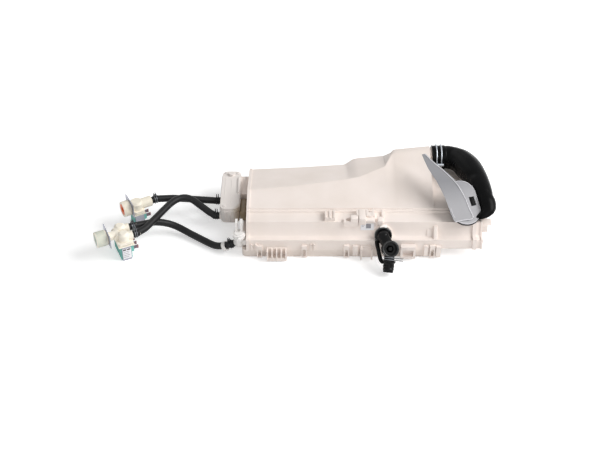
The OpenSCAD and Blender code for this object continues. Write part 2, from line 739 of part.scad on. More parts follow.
// A spring clamp of round wire with two finger loops
wire_pitch = 3;
finger_l = 6;
module hose_clamp(route, i) color([0.75, 0.76, 0.78])
    on_route(route, i) rotate(90) {
        r = hose_od / 2 + clamp_wire / 2;
        for (z = [-wire_pitch / 2, wire_pitch / 2]) translate([0, 0, z]) {
            wire_ring(r, clamp_wire);
            for (x = [-2, 2]) translate([x, r, 0]) rotate([-90, 0, 0])
                cylinder(d = clamp_wire, h = finger_l, $fn = 24);
        }
    }

module hot_valve_clamp() hose_clamp(hot_route, 0);
module main_valve_clamp() hose_clamp(main_route, 0);
module prewash_valve_clamp() hose_clamp(prewash_route, 0);
module hot_port_clamp() hose_clamp(hot_route, len(hot_route) - 2);
module main_port_clamp() hose_clamp(main_route, len(main_route) - 2);
module prewash_port_clamp() hose_clamp(prewash_route, len(prewash_route) - 2);

// Valves

hot_at = [rear_face - 139, -7, 0];
hot_yaw = 28;
cold_at = [rear_face - 163, -84, 0];
cold_yaw = 24;
hot_coil_x = -4;
cold_coil_x = 4;

// Along each valve's own X: the thread from its mouth to its step's end, and where the outlets begin
hot_thread = [-30, -14];
cold_thread = [-41, -20];
outlet_x = 6;
hot_neck_d = 18;
hot_collar_l = 16;
cold_neck_d = 15;
neck_reach = 20;
cold_collar_d = 14.5;
cold_collar_l = 13;
bridge_d = 14;
bridge_x = -4;
hot_chamber_d = 23;
cold_chamber_d = 19;
chamber_round = 3;
chamber_taper = 7;
hot_flange = [20, 28];
cold_flange = [27, 44];
cold_bonnet = [27, 46];
bonnet_in = 13;
neck_sunk = 2;
flange_r = 5;
flange_t = 4.5;
plate_t = 1.5;

yoke_t = 1.4;
coil_z = yoke_t + 0.2;
yoke_top = coil_z + coil_h + 0.2;
bonnet_z = yoke_top + yoke_t + 0.1;
bonnet_h = 2;
seat_z = bonnet_z + bonnet_h;
diaphragm_t = 1.5;
body_z = seat_z + diaphragm_t;
body_top = flow_z + 9.5;
guide_id = plunger_d + 2 * plunger_gap;
guide_od = guide_id + 1.8;
guide_z = 3.2;
core_z = guide_z + 5.4;
plunger_z = core_z + plunger_stroke + 0.1;
spring_z = guide_z + 1.5;
spring_r = 2;
spring_gap = 0.3;
tube_hole = guide_od + 0.3;
spring_pocket = 6;

module at_hot() { translate(hot_at) rotate(hot_yaw) children(); }
module at_cold() { translate(cold_at) rotate(cold_yaw) children(); }
module at_coil(kind) {
    if (kind == "hot") at_hot() translate([hot_coil_x, 0]) children();
    else at_cold() translate([cold_coil_x, (kind == "main" ? -1 : 1) * coil_pitch / 2]) children();
}

inlet_step = 2;
inlet_step_l = 3;
outlet_l = 13;

// The step behind the thread carries the mount plate
module threaded_inlet(span) {
    l = span[1] - span[0];
    translate([span[0], 0, flow_z]) rotate([0, 90, 0]) difference() {
        union() {
            cylinder(d = inlet_od, h = l - inlet_step_l, $fn = 72);
            cylinder(d = inlet_od - 2 * inlet_step, h = l, $fn = 72);
        }
        translate([0, 0, -1]) cylinder(d = inlet_bore, h = l - 1, $fn = 72);
    }
}

// A collar with the spigot for a hose, at y
module outlet(y, collar_l, collar_d) {
    translate([outlet_x, y, flow_z]) rotate([0, 90, 0]) {
        cylinder(d = collar_d, h = collar_l, $fn = 64);
        cylinder(d = spigot_d, h = collar_l + outlet_l, $fn = 48);
    }
}

// A valve chamber with a rounded top, over one coil
module chamber(d) {
    translate([0, 0, body_z]) cylinder(d = d, h = body_top - body_z - chamber_round, $fn = 64);
    translate([0, 0, body_top - chamber_round])
        cylinder(d1 = d, d2 = d - chamber_taper, h = chamber_round, $fn = 64);
}

module body_flange(size) translate([0, 0, body_z]) round_slab(size[0], size[1], flange_r, flange_t);

module hot_valve_body() color([0.90, 0.86, 0.76]) {
    at_hot() {
        threaded_inlet(hot_thread);
        translate([hot_thread[1], 0, flow_z]) rotate([0, 90, 0])
            cylinder(d = hot_neck_d, h = neck_reach, $fn = 64);
        outlet(0, hot_collar_l, hot_neck_d);
    }
    at_coil("hot") {
        chamber(hot_chamber_d);
        body_flange(hot_flange);
    }
}

module hot_valve_bonnet() color([0.88, 0.84, 0.80]) at_coil("hot") difference() {
    translate([-hot_flange[0] / 2, -hot_flange[1] / 2, bonnet_z])
        cube([hot_flange[0], hot_flange[1], bonnet_h]);
    translate([0, 0, bonnet_z - 1]) cylinder(d = tube_hole, h = bonnet_h + 2, $fn = 64);
}

module diaphragm() color([0.15, 0.15, 0.15]) translate([0, 0, seat_z])
    cylinder(d = 20, h = diaphragm_t, $fn = 64);
module hot_diaphragm() at_coil("hot") diaphragm();
module main_diaphragm() at_coil("main") diaphragm();
module prewash_diaphragm() at_coil("prewash") diaphragm();

// A flow limiter pressed into an inlet, sunk below its mouth, and the strainer behind it
module flow_insert(x, id, h) translate([x, 0, flow_z]) rotate([0, 90, 0]) tube(inlet_bore - slip, id, h);
module hot_flow_insert() color([0.85, 0.33, 0.16]) at_hot() flow_insert(hot_thread[0] + 0.4, 10, 7);
module hot_inlet_filter() color([0.35, 0.06, 0.05]) at_hot() translate([hot_thread[0] + 10, 0, flow_z])
    rotate([0, 90, 0]) cylinder(d = inlet_bore - 2, h = 3, $fn = 48);

// A sheet-metal plate on the step behind a thread
module mount_plate(x, w, z0, z1) translate([x, 0, 0]) difference() {
    translate([0, -w / 2, z0]) cube([plate_t, w, z1 - z0]);
    translate([-1, 0, flow_z]) rotate([0, 90, 0])
        cylinder(d = inlet_od - 2 * inlet_step + 4 * slip, h = 4, $fn = 72);
}
module hot_mount_plate() color([0.66, 0.66, 0.72]) at_hot()
    mount_plate(hot_thread[1] - inlet_step_l + 0.4, 34, bonnet_z + 2, flow_z + 16);

module guide_tube() color([0.85, 0.85, 0.80]) difference() {
    translate([0, 0, guide_z]) cylinder(d = guide_od, h = seat_z - guide_z, $fn = 72);
    translate([0, 0, core_z]) cylinder(d = guide_id, h = 40, $fn = 72);
    translate([0, 0, spring_z]) cylinder(r = spring_r + spring_wire / 2 + spring_gap, h = 40, $fn = 48);
}
module plunger() color([0.6, 0.6, 0.62]) difference() {
    translate([0, 0, plunger_z]) cylinder(d = plunger_d, h = seat_z - plunger_z - 0.1, $fn = 72);
    translate([0, 0, plunger_z - 1])
        cylinder(r = spring_r + spring_wire / 2 + spring_gap, h = spring_pocket + 1, $fn = 48);
}
module spring() color([0.8, 0.8, 0.8]) {
    turns = 6;
    n = 12;
    h = plunger_z + spring_pocket - spring_z - spring_wire;
    pts = [for (i = [0 : turns * n]) let (a = 360 * i / n)
        [spring_r * cos(a), spring_r * sin(a), spring_z + spring_wire / 2 + h * i / (turns * n)]];
    sweep(pts, [for (p = pts) spring_wire / 2], 6);
}
module coil() color([0.30, 0.62, 0.60]) difference() {
    union() {
        translate([-10, -8.7, coil_z]) cube([19, 17.4, coil_h]);
        translate([8, -8.2, coil_z + 12]) cube([5, 16.4, 10]);
    }
    translate([0, 0, -1]) cylinder(d = tube_hole, h = 40, $fn = 72);
}
module yoke() color([0.6, 0.6, 0.6]) difference() {
    translate([-8, -10.3, 0]) cube([16, 20.6, yoke_top + yoke_t]);
    translate([-9, -8.9, yoke_t]) cube([18, 17.8, yoke_top - yoke_t]);
    translate([0, 0, -1]) cylinder(d = tube_hole, h = 40, $fn = 72);
}
module terminals() color([0.7, 0.7, 0.7]) for (y = [-5, 5])
    translate([13, y - 0.4, coil_z + 14]) cube([8, 0.8, blade_w]);

module hot_guide_tube() at_coil("hot") guide_tube();
module hot_plunger() at_coil("hot") plunger();
module hot_spring() at_coil("hot") spring();
module hot_coil() at_coil("hot") coil();
module hot_yoke() at_coil("hot") yoke();
module hot_terminals() at_coil("hot") terminals();
module main_guide_tube() at_coil("main") guide_tube();
module main_plunger() at_coil("main") plunger();
module main_spring() at_coil("main") spring();
module main_coil() at_coil("main") coil();
module main_yoke() at_coil("main") yoke();
module main_terminals() at_coil("main") terminals();
module prewash_guide_tube() at_coil("prewash") guide_tube();
module prewash_plunger() at_coil("prewash") plunger();
module prewash_spring() at_coil("prewash") spring();
module prewash_coil() at_coil("prewash") coil();
module prewash_yoke() at_coil("prewash") yoke();
module prewash_terminals() at_coil("prewash") terminals();

module cold_valve_body() color([0.90, 0.87, 0.78]) {
    at_cold() {
        translate([cold_thread[1] - neck_sunk, 0, flow_z]) rotate([0, 90, 0])
            cylinder(d = cold_neck_d, h = neck_reach, $fn = 64);
        threaded_inlet(cold_thread);
        translate([bridge_x, -coil_pitch / 2, flow_z]) rotate([-90, 0, 0])
            cylinder(d = bridge_d, h = coil_pitch, $fn = 64);
        for (y = [-1, 1]) outlet(y * coil_pitch / 2, cold_collar_l, cold_collar_d);
        translate([cold_coil_x, 0]) body_flange(cold_flange);
    }
    for (kind = ["main", "prewash"]) at_coil(kind) chamber(cold_chamber_d);
}
module cold_valve_bonnet() color([0.88, 0.85, 0.78]) at_cold() difference() {
    translate([cold_coil_x - bonnet_in, -cold_bonnet[1] / 2, bonnet_z])
        cube([cold_bonnet[0], cold_bonnet[1], bonnet_h]);
    for (y = [-1, 1]) translate([cold_coil_x, y * coil_pitch / 2, 0])
        cylinder(d = tube_hole, h = 60, $fn = 64);
}
module cold_flow_insert() color([0.80, 0.88, 0.80]) at_cold() flow_insert(cold_thread[0], 7, 8);
module cold_mount_plate() color([0.62, 0.64, 0.64]) at_cold()
    mount_plate(cold_thread[1] - plate_t - slip, 38, bonnet_z + 2, flow_z + 14);

housing_shell();
distributor_cover();
nozzle_plate();
rear_manifold();
port_elbow();
hose_clip();
sticker();
drain_hose();
drain_clamp();
outlet_spout();
dosing_collar();
dosing_elbow();
dosing_clamp();
dosing_plug();
hot_hose();
main_hose();
prewash_hose();
hot_valve_clamp();
main_valve_clamp();
prewash_valve_clamp();
hot_port_clamp();
main_port_clamp();
prewash_port_clamp();
hot_valve_body();
hot_valve_bonnet();
hot_diaphragm();
hot_flow_insert();
hot_inlet_filter();
hot_mount_plate();
hot_guide_tube();
hot_plunger();
hot_spring();
hot_coil();
hot_yoke();
hot_terminals();
cold_valve_body();
cold_valve_bonnet();
cold_flow_insert();
cold_mount_plate();
main_diaphragm();
main_guide_tube();
main_plunger();
main_spring();
main_coil();
main_yoke();
main_terminals();
prewash_diaphragm();
prewash_guide_tube();
prewash_plunger();
prewash_spring();
prewash_coil();
prewash_yoke();
prewash_terminals();
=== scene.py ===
import json
import math

import bmesh
import bpy
from mathutils import Matrix, Vector


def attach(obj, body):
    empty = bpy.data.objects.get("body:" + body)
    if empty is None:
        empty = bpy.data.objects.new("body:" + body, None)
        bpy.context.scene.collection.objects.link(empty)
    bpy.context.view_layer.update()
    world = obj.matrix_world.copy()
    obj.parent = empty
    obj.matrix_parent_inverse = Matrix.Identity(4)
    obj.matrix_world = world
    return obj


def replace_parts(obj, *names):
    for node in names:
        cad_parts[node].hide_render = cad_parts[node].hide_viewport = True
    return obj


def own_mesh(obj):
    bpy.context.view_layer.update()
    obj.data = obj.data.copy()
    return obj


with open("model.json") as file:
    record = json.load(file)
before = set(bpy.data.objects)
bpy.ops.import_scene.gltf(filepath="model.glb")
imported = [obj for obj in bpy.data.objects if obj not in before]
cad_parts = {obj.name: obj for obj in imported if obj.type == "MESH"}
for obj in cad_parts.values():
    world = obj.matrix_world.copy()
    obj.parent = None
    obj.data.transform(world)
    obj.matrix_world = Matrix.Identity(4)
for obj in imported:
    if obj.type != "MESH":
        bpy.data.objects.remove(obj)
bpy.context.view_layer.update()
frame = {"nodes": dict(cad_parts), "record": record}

# Lengths and places are in millimetres and become metres with MM, unless a line says otherwise
MM = 0.001
NODES = frame["nodes"]
SCENE = bpy.context.scene
HERE = Matrix.Identity(4)
UP = Vector((0, 0, 1))


# Camera, at the photograph's angle, for an image of 600 by 450

CAMERA_TARGET = Vector((-69, -30, 15.5)) * MM
CAMERA_DISTANCE = 2.0
CAMERA_ELEVATION = math.radians(40)
VIEW_WIDTH = 1.02
SENSOR = 36


def make_camera():
    data = bpy.data.cameras.new("camera")
    data.sensor_width = SENSOR
    data.lens = SENSOR * CAMERA_DISTANCE / VIEW_WIDTH
    camera = bpy.data.objects.new("camera", data)
    back = Vector((0, -math.cos(CAMERA_ELEVATION), math.sin(CAMERA_ELEVATION)))
    camera.location = CAMERA_TARGET + CAMERA_DISTANCE * back
    camera.rotation_euler = (math.pi / 2 - CAMERA_ELEVATION, 0, 0)
    SCENE.collection.objects.link(camera)
    SCENE.camera = camera


# Material nodes

def linear(text):
    """A colour written as #RRGGBB, as the shader wants it."""
    parts = [int(text[i:i + 2], 16) / 255 for i in (1, 3, 5)]
    return tuple(c / 12.92 if c <= 0.04045 else ((c + 0.055) / 1.055) ** 2.4 for c in parts) + (1,)


def new_material(name):
    material = bpy.data.materials.new(name)
    material.use_nodes = True
    nodes, links = material.node_tree.nodes, material.node_tree.links
    nodes.clear()
    output = nodes.new("ShaderNodeOutputMaterial")
    shader = nodes.new("ShaderNodeBsdfPrincipled")
    links.new(shader.outputs[0], output.inputs[0])
    return material, nodes, links, shader


def noise(nodes, links, scale, detail=3, stretch=None):
    """A noise value in the object's own coordinates; the scale is a metre's."""
    source = nodes.new("ShaderNodeTexCoord").outputs["Object"]
    texture = nodes.new("ShaderNodeTexNoise")
    texture.inputs["Scale"].default_value = scale
    texture.inputs["Detail"].default_value = detail
    if stretch:
        mapping = nodes.new("ShaderNodeMapping")
        mapping.inputs["Scale"].default_value = stretch
        links.new(source, mapping.inputs["Vector"])
        source = mapping.outputs["Vector"]
    links.new(source, texture.inputs["Vector"])
    return texture.outputs["Fac"]


def ramp(nodes, links, source, low, high, start=0.3, end=0.7):
    """Turn a value into a blend between two colours."""
    node = nodes.new("ShaderNodeValToRGB")
    for element, position, colour in zip(node.color_ramp.elements, (start, end), (low, high)):
        element.position = position
        element.color = linear(colour)
    links.new(source, node.inputs["Fac"])
    return node.outputs["Color"]


def span(nodes, links, source, low, high):
    """Turn a value from 0 to 1 into one from low to high."""
    node = nodes.new("ShaderNodeMapRange")
    node.inputs["To Min"].default_value = low
    node.inputs["To Max"].default_value = high
    links.new(source, node.inputs["Value"])
    return node.outputs["Result"]


def bump(nodes, links, shader, source, strength, depth):
    node = nodes.new("ShaderNodeBump")
    node.inputs["Strength"].default_value = strength
    node.inputs["Distance"].default_value = depth * MM
    links.new(source, node.inputs["Height"])
    links.new(node.outputs["Normal"], shader.inputs["Normal"])


# Kinds of material. Scales of noise are a metre's, and depths are in millimetres

PLASTIC_CLOUDS = 14
PLASTIC_RAMP = (0.25, 0.6)
SHADED_CLOUDS = 35
SHADED_CLOUD_SHARE = 0.3
SHADED_RAMP = (0.15, 1.0)
PLASTIC_GLOSS = 60
PLASTIC_GRAIN = 2600
PLASTIC_DEPTH = 0.04
PLASTIC_BUMP = 0.35
RUBBER_CLOUDS = 40
RUBBER_GLOSS = 90
RUBBER_GRAIN = 1500
RUBBER_DEPTH = 0.06
RUBBER_BUMP = 0.4
METAL_SHARE = 0.9
METAL_ROUGH = (0.25, 0.42)
METAL_LINES = 300
METAL_STRETCH = (1, 1, 14)
METAL_GRAIN = 1800
METAL_DEPTH = 0.03
METAL_BUMP = 0.2


def plastic_finish(nodes, links, shader, rough, grain, depth, through):
    """The uneven gloss, the eroded grain and the clearness of moulded plastic."""
    links.new(span(nodes, links, noise(nodes, links, PLASTIC_GLOSS), *rough),
              shader.inputs["Roughness"])
    bump(nodes, links, shader, noise(nodes, links, grain, detail=2), PLASTIC_BUMP, depth)
    if through:
        shader.inputs["Transmission Weight"].default_value = through


def plastic(name, light, dark, rough=(0.38, 0.52), through=0):
    """Moulded plastic of a faint cloudy colour."""
    material, nodes, links, shader = new_material(name)
    cloud = noise(nodes, links, PLASTIC_CLOUDS, detail=4)
    links.new(ramp(nodes, links, cloud, dark, light, *PLASTIC_RAMP), shader.inputs["Base Color"])
    plastic_finish(nodes, links, shader, rough, PLASTIC_GRAIN, PLASTIC_DEPTH, through)
    return material


def shaded_plastic(name, near, far, reach, axis, rough, grain=PLASTIC_GRAIN, depth=PLASTIC_DEPTH,
                   through=0):
    """Moulded plastic whose colour goes from near to far over a reach along axis, in metres."""
    material, nodes, links, shader = new_material(name)
    along = nodes.new("ShaderNodeVectorMath")
    along.operation = "DOT_PRODUCT"
    along.inputs[1].default_value = axis
    links.new(nodes.new("ShaderNodeTexCoord").outputs["Object"], along.inputs[0])
    share = nodes.new("ShaderNodeMapRange")
    share.interpolation_type = "SMOOTHSTEP"
    share.inputs["From Min"].default_value, share.inputs["From Max"].default_value = reach
    links.new(along.outputs["Value"], share.inputs["Value"])
    blend = nodes.new("ShaderNodeMath")
    blend.operation = "MULTIPLY_ADD"
    blend.inputs[1].default_value = SHADED_CLOUD_SHARE
    links.new(noise(nodes, links, SHADED_CLOUDS, detail=4), blend.inputs[0])
    links.new(share.outputs["Result"], blend.inputs[2])
    links.new(ramp(nodes, links, blend.outputs["Value"], near, far, *SHADED_RAMP),
              shader.inputs["Base Color"])
    plastic_finish(nodes, links, shader, rough, grain, depth, through)
    return material


def rubber(name, light, dark, rough=(0.34, 0.5), shine=0.25):
    """Black rubber with the sheen and fine lines of a pressed tube."""
    material, nodes, links, shader = new_material(name)
    shader.inputs["Specular IOR Level"].default_value = shine
    cloud = noise(nodes, links, RUBBER_CLOUDS, detail=5)
    links.new(ramp(nodes, links, cloud, dark, light), shader.inputs["Base Color"])
    links.new(span(nodes, links, noise(nodes, links, RUBBER_GLOSS), *rough),
              shader.inputs["Roughness"])
    bump(nodes, links, shader, noise(nodes, links, RUBBER_GRAIN), RUBBER_BUMP, RUBBER_DEPTH)
    return material


def metal(name, light, dark):
    """Plated or drawn steel with fine lines."""
    material, nodes, links, shader = new_material(name)
    shader.inputs["Metallic"].default_value = METAL_SHARE
    lines = noise(nodes, links, METAL_LINES, detail=4, stretch=METAL_STRETCH)
    links.new(ramp(nodes, links, lines, dark, light), shader.inputs["Base Color"])
    links.new(span(nodes, links, lines, *METAL_ROUGH), shader.inputs["Roughness"])
    bump(nodes, links, shader, noise(nodes, links, METAL_GRAIN), METAL_BUMP, METAL_DEPTH)
    return material


# Finishes by name: the record's own slots first, then those that only this script uses

MATERIALS = {
    "ivory_plastic": plastic("ivory", "#F4E9E2", "#EBDFD6"),
    "cover_plastic": plastic("cover_ivory", "#EEE3DB", "#E4D8CE"),
    # Painted shade, partly a brown stain: the milky plastic goes brown towards the housing, where
    # the gap between them lies in shade
    "manifold_plastic": shaded_plastic("milky", "#A08C6A", "#EFE8E3", (0.132, 0.152),
                                       (-0.86, 0.5, 0), (0.3, 0.42), grain=1200, depth=0.01,
                                       through=0.06),
    "white_plastic": plastic("white", "#F4F1EE", "#EAE7E4"),
    "label_white": plastic("paper", "#F4F3F6", "#EAE9EE", rough=(0.5, 0.6)),
    "black_rubber": rubber("black_rubber", "#1E1E1F", "#121213", shine=0.2),
    "zinc_wire": metal("zinc", "#C9CDD2", "#9A9FA6"),
    "grey_plastic": shaded_plastic("grey", "#A5A4A7", "#87878B", (0.078, 0.118), (0, 0, 1),
                                   (0.4, 0.55)),
    "valve_cream": plastic("cream", "#FAF3E4", "#F1E9D6"),
    "valve_rubber": rubber("soft_black", "#1C1C1C", "#121212"),
    "orange_plastic": plastic("orange", "#FF7A3C", "#F0662C"),
    "dark_mesh": plastic("dark_red", "#C8481E", "#A83A16", rough=(0.5, 0.7)),
    "pale_green": plastic("pale_green", "#DCE6DA", "#C6D4C6", through=0.15),
    "plate_steel": metal("plate", "#B4B5BE", "#8F909C"),
    "core_steel": metal("core", "#A9AAAD", "#85868A"),
    "spring_steel": metal("spring", "#C2C2C4", "#98989C"),
    "teal_plastic": plastic("teal", "#74C0B6", "#55A79D"),
    "elbow_rubber": rubber("elbow_rubber", "#101011", "#080809", rough=(0.2, 0.34), shine=0.06),
    "gloss_rubber": rubber("gloss_rubber", "#0E0E0F", "#070708", rough=(0.1, 0.22), shine=0.14),
    "wet_rubber": rubber("wet_rubber", "#141415", "#0C0C0D", rough=(0.08, 0.16), shine=0.5),
    "label_print": plastic("print", "#8E8E94", "#7C7C82", rough=(0.5, 0.6)),
    # Painted shade, partly a seal: this brown stands for the shaded gap beside the housing
    "seal_and_shade_brown": plastic("seal", "#8F7D62", "#64553F", rough=(0.3, 0.45)),
    # Painted highlight: a grey paler than the spout, for the light on its rims
    "highlight_grey_edge": plastic("highlight_grey_edge", "#D4D3D6", "#C2C1C5", rough=(0.3, 0.45)),
    "red_tip": plastic("red_tip", "#96686A", "#764C4F", rough=(0.3, 0.4)),
    "dark_wire": metal("dark_wire", "#8C8E93", "#55575B"),
    "black_wire": metal("black_wire", "#3A3B3D", "#1E1F20"),
    "blade_steel": metal("blade", "#8E7F88", "#5F525B"),
}

# Carried-over nodes that look unlike the rest of their slot
LOOKS = {"dosing_collar": "wet_rubber", "dosing_elbow": "gloss_rubber", "dosing_clamp": "dark_wire"}
for which in ("hot", "main", "prewash"):
    LOOKS[which + "_valve_clamp"] = "dark_wire"
    LOOKS[which + "_port_clamp"] = "black_wire"
    LOOKS[which + "_terminals"] = "blade_steel"


# Finish of the carried-over nodes

WELD = 0.005
SMOOTH_BELOW = math.radians(32)
FLAT_WITHIN = math.radians(0.5)
BEVEL_ABOVE = math.radians(35)
BEVEL = 0.35
WIDER_BEVELS = {"housing_shell": 0.5, "distributor_cover": 0.5, "rear_manifold": 0.5,
                "outlet_spout": 0.4}
NO_BEVEL = ("clamp", "spring", "hose", "plunger", "terminals", "guide_tube")


def finish_group():
    """Welds the seams between a node's faces and keeps only its real edges sharp."""
    group = bpy.data.node_groups.new("weld_and_smooth", "GeometryNodeTree")
    for way in ("INPUT", "OUTPUT"):
        group.interface.new_socket("Geometry", in_out=way, socket_type="NodeSocketGeometry")
    nodes, links = group.nodes, group.links
    start, end = nodes.new("NodeGroupInput"), nodes.new("NodeGroupOutput")
    weld = nodes.new("GeometryNodeMergeByDistance")
    weld.inputs["Distance"].default_value = WELD * MM
    smooth = nodes.new("GeometryNodeSetShadeSmooth")
    smooth.domain = "EDGE"
    edge = nodes.new("GeometryNodeInputMeshEdgeAngle")
    compare = nodes.new("FunctionNodeCompare")
    compare.operation = "LESS_THAN"
    compare.inputs[1].default_value = SMOOTH_BELOW
    links.new(start.outputs[0], weld.inputs[0])
    links.new(weld.outputs[0], smooth.inputs[0])
    links.new(edge.outputs["Unsigned Angle"], compare.inputs[0])
    links.new(compare.outputs[0], smooth.inputs["Shade Smooth"])
    links.new(smooth.outputs[0], end.inputs[0])
    return group


def dress(name, slot, group):
    """Give a carried-over node its material, smooth shading and rounded edges."""
    node = NODES[name]
    node.data.materials.clear()
    node.data.materials.append(MATERIALS[LOOKS.get(name, slot)])
    bpy.context.view_layer.objects.active = node
    bpy.ops.mesh.customdata_custom_splitnormals_clear()
    node.data.polygons.foreach_set("use_smooth", [True] * len(node.data.polygons))
    node.modifiers.new("weld", "NODES").node_group = group
    if not any(word in name for word in NO_BEVEL):
        plane = node.modifiers.new("planes", "DECIMATE")
        plane.decimate_type = "DISSOLVE"
        plane.angle_limit = FLAT_WITHIN
        bevel = node.modifiers.new("edges", "BEVEL")
        bevel.width = WIDER_BEVELS.get(name, BEVEL) * MM
        bevel.segments = 2
        bevel.limit_method = "ANGLE"
        bevel.angle_limit = BEVEL_ABOVE
        bevel.use_clamp_overlap = True
        node.modifiers.new("normals", "WEIGHTED_NORMAL").keep_sharp = False


def dress_all():
    group = finish_group()
    for row in frame["record"]["subparts"]:
        dress(row["node"], row["material_slot"], group)


# Meshes. Paths, placing matrices and the radii of tubes are in metres

SHARP_ABOVE = math.radians(40)
SOFT_SEGMENTS = 3
DETAIL_STEPS = 6
RING_SIDES = 64
BAND_SIDES = 16
# Below 1 these make a strap's section squarer, across its width and across its thickness
BAND_POWERS = (0.45, 0.8)


def piece(name, mesh, slot):
    """Make a finished piece from a bmesh, riding on the fixed body."""
    bmesh.ops.recalc_face_normals(mesh, faces=mesh.faces)
    data = bpy.data.meshes.new(name)
    mesh.to_mesh(data)
    mesh.free()
    data.materials.append(MATERIALS[slot])
    data.polygons.foreach_set("use_smooth", [True] * len(data.polygons))
    data.set_sharp_from_angle(angle=SHARP_ABOVE)
    made = bpy.data.objects.new(name, data)
    SCENE.collection.objects.link(made)
    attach(made, "root")
    return made


def round_angles(sides):
    return [2 * math.pi * j / sides for j in range(sides)]


def join_rings(mesh, rings, closed=False):
    """Faces between neighbouring rings of vertices."""
    count = len(rings)
    for i in range(count if closed else count - 1):
        one, two = rings[i], rings[(i + 1) % count]
        for j in range(len(one)):
            k = (j + 1) % len(one)
            mesh.faces.new((one[j], one[k], two[k], two[j]))


def join_and_cap(mesh, rings):
    """The same, with the first and the last ring filled in."""
    join_rings(mesh, rings)
    mesh.faces.new(list(reversed(rings[0])))
    mesh.faces.new(rings[-1])


def heading(path, i):
    """The way a path runs at its point i."""
    return (path[min(i + 1, len(path) - 1)] - path[max(i - 1, 0)]).normalized()


def smooth_path(points, steps):
    """A smooth line, in metres, through points in millimetres, with steps between each two."""
    p = [Vector(q) * MM for q in points]
    out = []
    for i in range(len(p) - 1):
        a, b, c, d = p[max(i - 1, 0)], p[i], p[i + 1], p[min(i + 2, len(p) - 1)]
        for s in range(steps):
            t = s / steps
            out.append(0.5 * (2 * b + (c - a) * t + (2 * a - 5 * b + 4 * c - d) * t * t
                              + (3 * b - a - 3 * c + d) * t ** 3))
    return out + [p[-1]]


def smooth_values(values, steps):
    """Numbers between the given ones, as smooth_path spaces its points."""
    return [q.x / MM for q in smooth_path([(v, 0, 0) for v in values], steps)]


def coil_path(place, radius, low, high, turns, count, axis=2):
    """A helix round one of the place's axes, from low to high along it, in millimetres."""
    path = []
    for i in range(count + 1):
        a = 2 * math.pi * turns * i / count
        spot = [radius * math.cos(a), radius * math.sin(a)]
        spot.insert(axis, low + (high - low) * i / count)
        path.append(place @ (Vector(spot) * MM))
    return path


def tube(name, path, radius, slot, sides=24):
    """A closed tube along a path, of one radius or of one for each point."""
    radii = radius if isinstance(radius, list) else [radius] * len(path)
    mesh = bmesh.new()
    rings = []
    normal = heading(path, 0).orthogonal().normalized()
    for i, point in enumerate(path):
        ahead = heading(path, i)
        normal = (normal - normal.dot(ahead) * ahead).normalized()
        other = ahead.cross(normal)
        outward = [math.cos(a) * normal + math.sin(a) * other for a in round_angles(sides)]
        rings.append([mesh.verts.new(point + radii[i] * way) for way in outward])
    join_and_cap(mesh, rings)
    return piece(name, mesh, slot)


def band(name, path, across, width, thick, slot):
    """A flat strap with rounded edges along a path; across is the way its width lies."""
    mesh = bmesh.new()
    rings = []
    for i, point in enumerate(path):
        ahead = heading(path, i)
        side = Vector(across)
        side = (side - side.dot(ahead) * ahead).normalized()
        up = ahead.cross(side)
        ring = []
        for a in round_angles(BAND_SIDES):
            w = width / 2 * math.copysign(abs(math.cos(a)) ** BAND_POWERS[0], math.cos(a))
            h = thick / 2 * math.copysign(abs(math.sin(a)) ** BAND_POWERS[1], math.sin(a))
            ring.append(mesh.verts.new(point + (w * side + h * up) * MM))
        rings.append(ring)
    join_and_cap(mesh, rings)
    return piece(name, mesh, slot)


def turned_vertex(mesh, place, r, z, a):
    return mesh.verts.new(place @ (Vector((r * math.cos(a), r * math.sin(a), z)) * MM))


def lathe(name, place, profile, slot, sides=48):
    """A turned piece: its profile's points are radius and height along the place's Z."""
    mesh = bmesh.new()
    join_and_cap(mesh, [[turned_vertex(mesh, place, r, z, a) for a in round_angles(sides)]
                        for r, z in profile])
    return piece(name, mesh, slot)


def ring_piece(name, place, profile, slot):
    """A turned ring: its profile is a closed outline of radius and height."""
    mesh = bmesh.new()
    join_rings(mesh, [[turned_vertex(mesh, place, r, z, a) for r, z in profile]
                      for a in round_angles(RING_SIDES)], closed=True)
    return piece(name, mesh, slot)


def bead(r0, r1, z0, z1, steps=12):
    """A closed oval outline between two radii and two heights."""
    return [((r0 + r1) / 2 + (r1 - r0) / 2 * math.cos(a),
             (z0 + z1) / 2 + (z1 - z0) / 2 * math.sin(a)) for a in round_angles(steps)]


def soften(mesh, radius):
    """Round every edge."""
    bmesh.ops.bevel(mesh, geom=mesh.edges[:], offset=radius * MM, segments=SOFT_SEGMENTS,
                    affect="EDGES", profile=0.5)


def soft_block(name, place, low, high, radius, slot):
    """A block with rounded edges, from its low to its high corner in the place's own frame."""
    mesh = bmesh.new()
    bmesh.ops.create_cube(mesh, size=1)
    low, high = Vector(low) * MM, Vector(high) * MM
    for vertex in mesh.verts:
        vertex.co = Vector(low[i] + (vertex.co[i] + 0.5) * (high[i] - low[i]) for i in range(3))
    soften(mesh, radius)
    mesh.transform(place)
    return piece(name, mesh, slot)


def soft_wedge(name, x0, x1, foot, top, radius, slot):
    """A rounded block from x0 to x1 whose foot and top are each given as y, y and z."""
    mesh = bmesh.new()
    rows = [[mesh.verts.new(Vector((x, y, z)) * MM)
             for x, y in ((x0, y0), (x1, y0), (x1, y1), (x0, y1))] for y0, y1, z in (foot, top)]
    for row in rows:
        mesh.faces.new(row)
    join_rings(mesh, rows)
    bmesh.ops.recalc_face_normals(mesh, faces=mesh.faces)
    soften(mesh, radius)
    return piece(name, mesh, slot)


def stadium(length, width, steps):
    """Points and outward normals round a slot-shaped outline."""
    r = width / 2
    out = []
    for side in (1, -1):
        for i in range(steps + 1):
            a = math.pi * i / steps - math.pi / 2
            n = Vector((math.cos(a) * side, math.sin(a) * side))
            out.append((Vector((side * (length / 2 - r), 0)) + r * n, n))
    return out


def place_at(origin, u, n):
    """A placing matrix with X along u and Z along n."""
    u = Vector(u).normalized()
    v = Vector(n).cross(u).normalized()
    matrix = Matrix((u, v, u.cross(v))).transposed().to_4x4()
    matrix.translation = Vector(origin) * MM
    return matrix


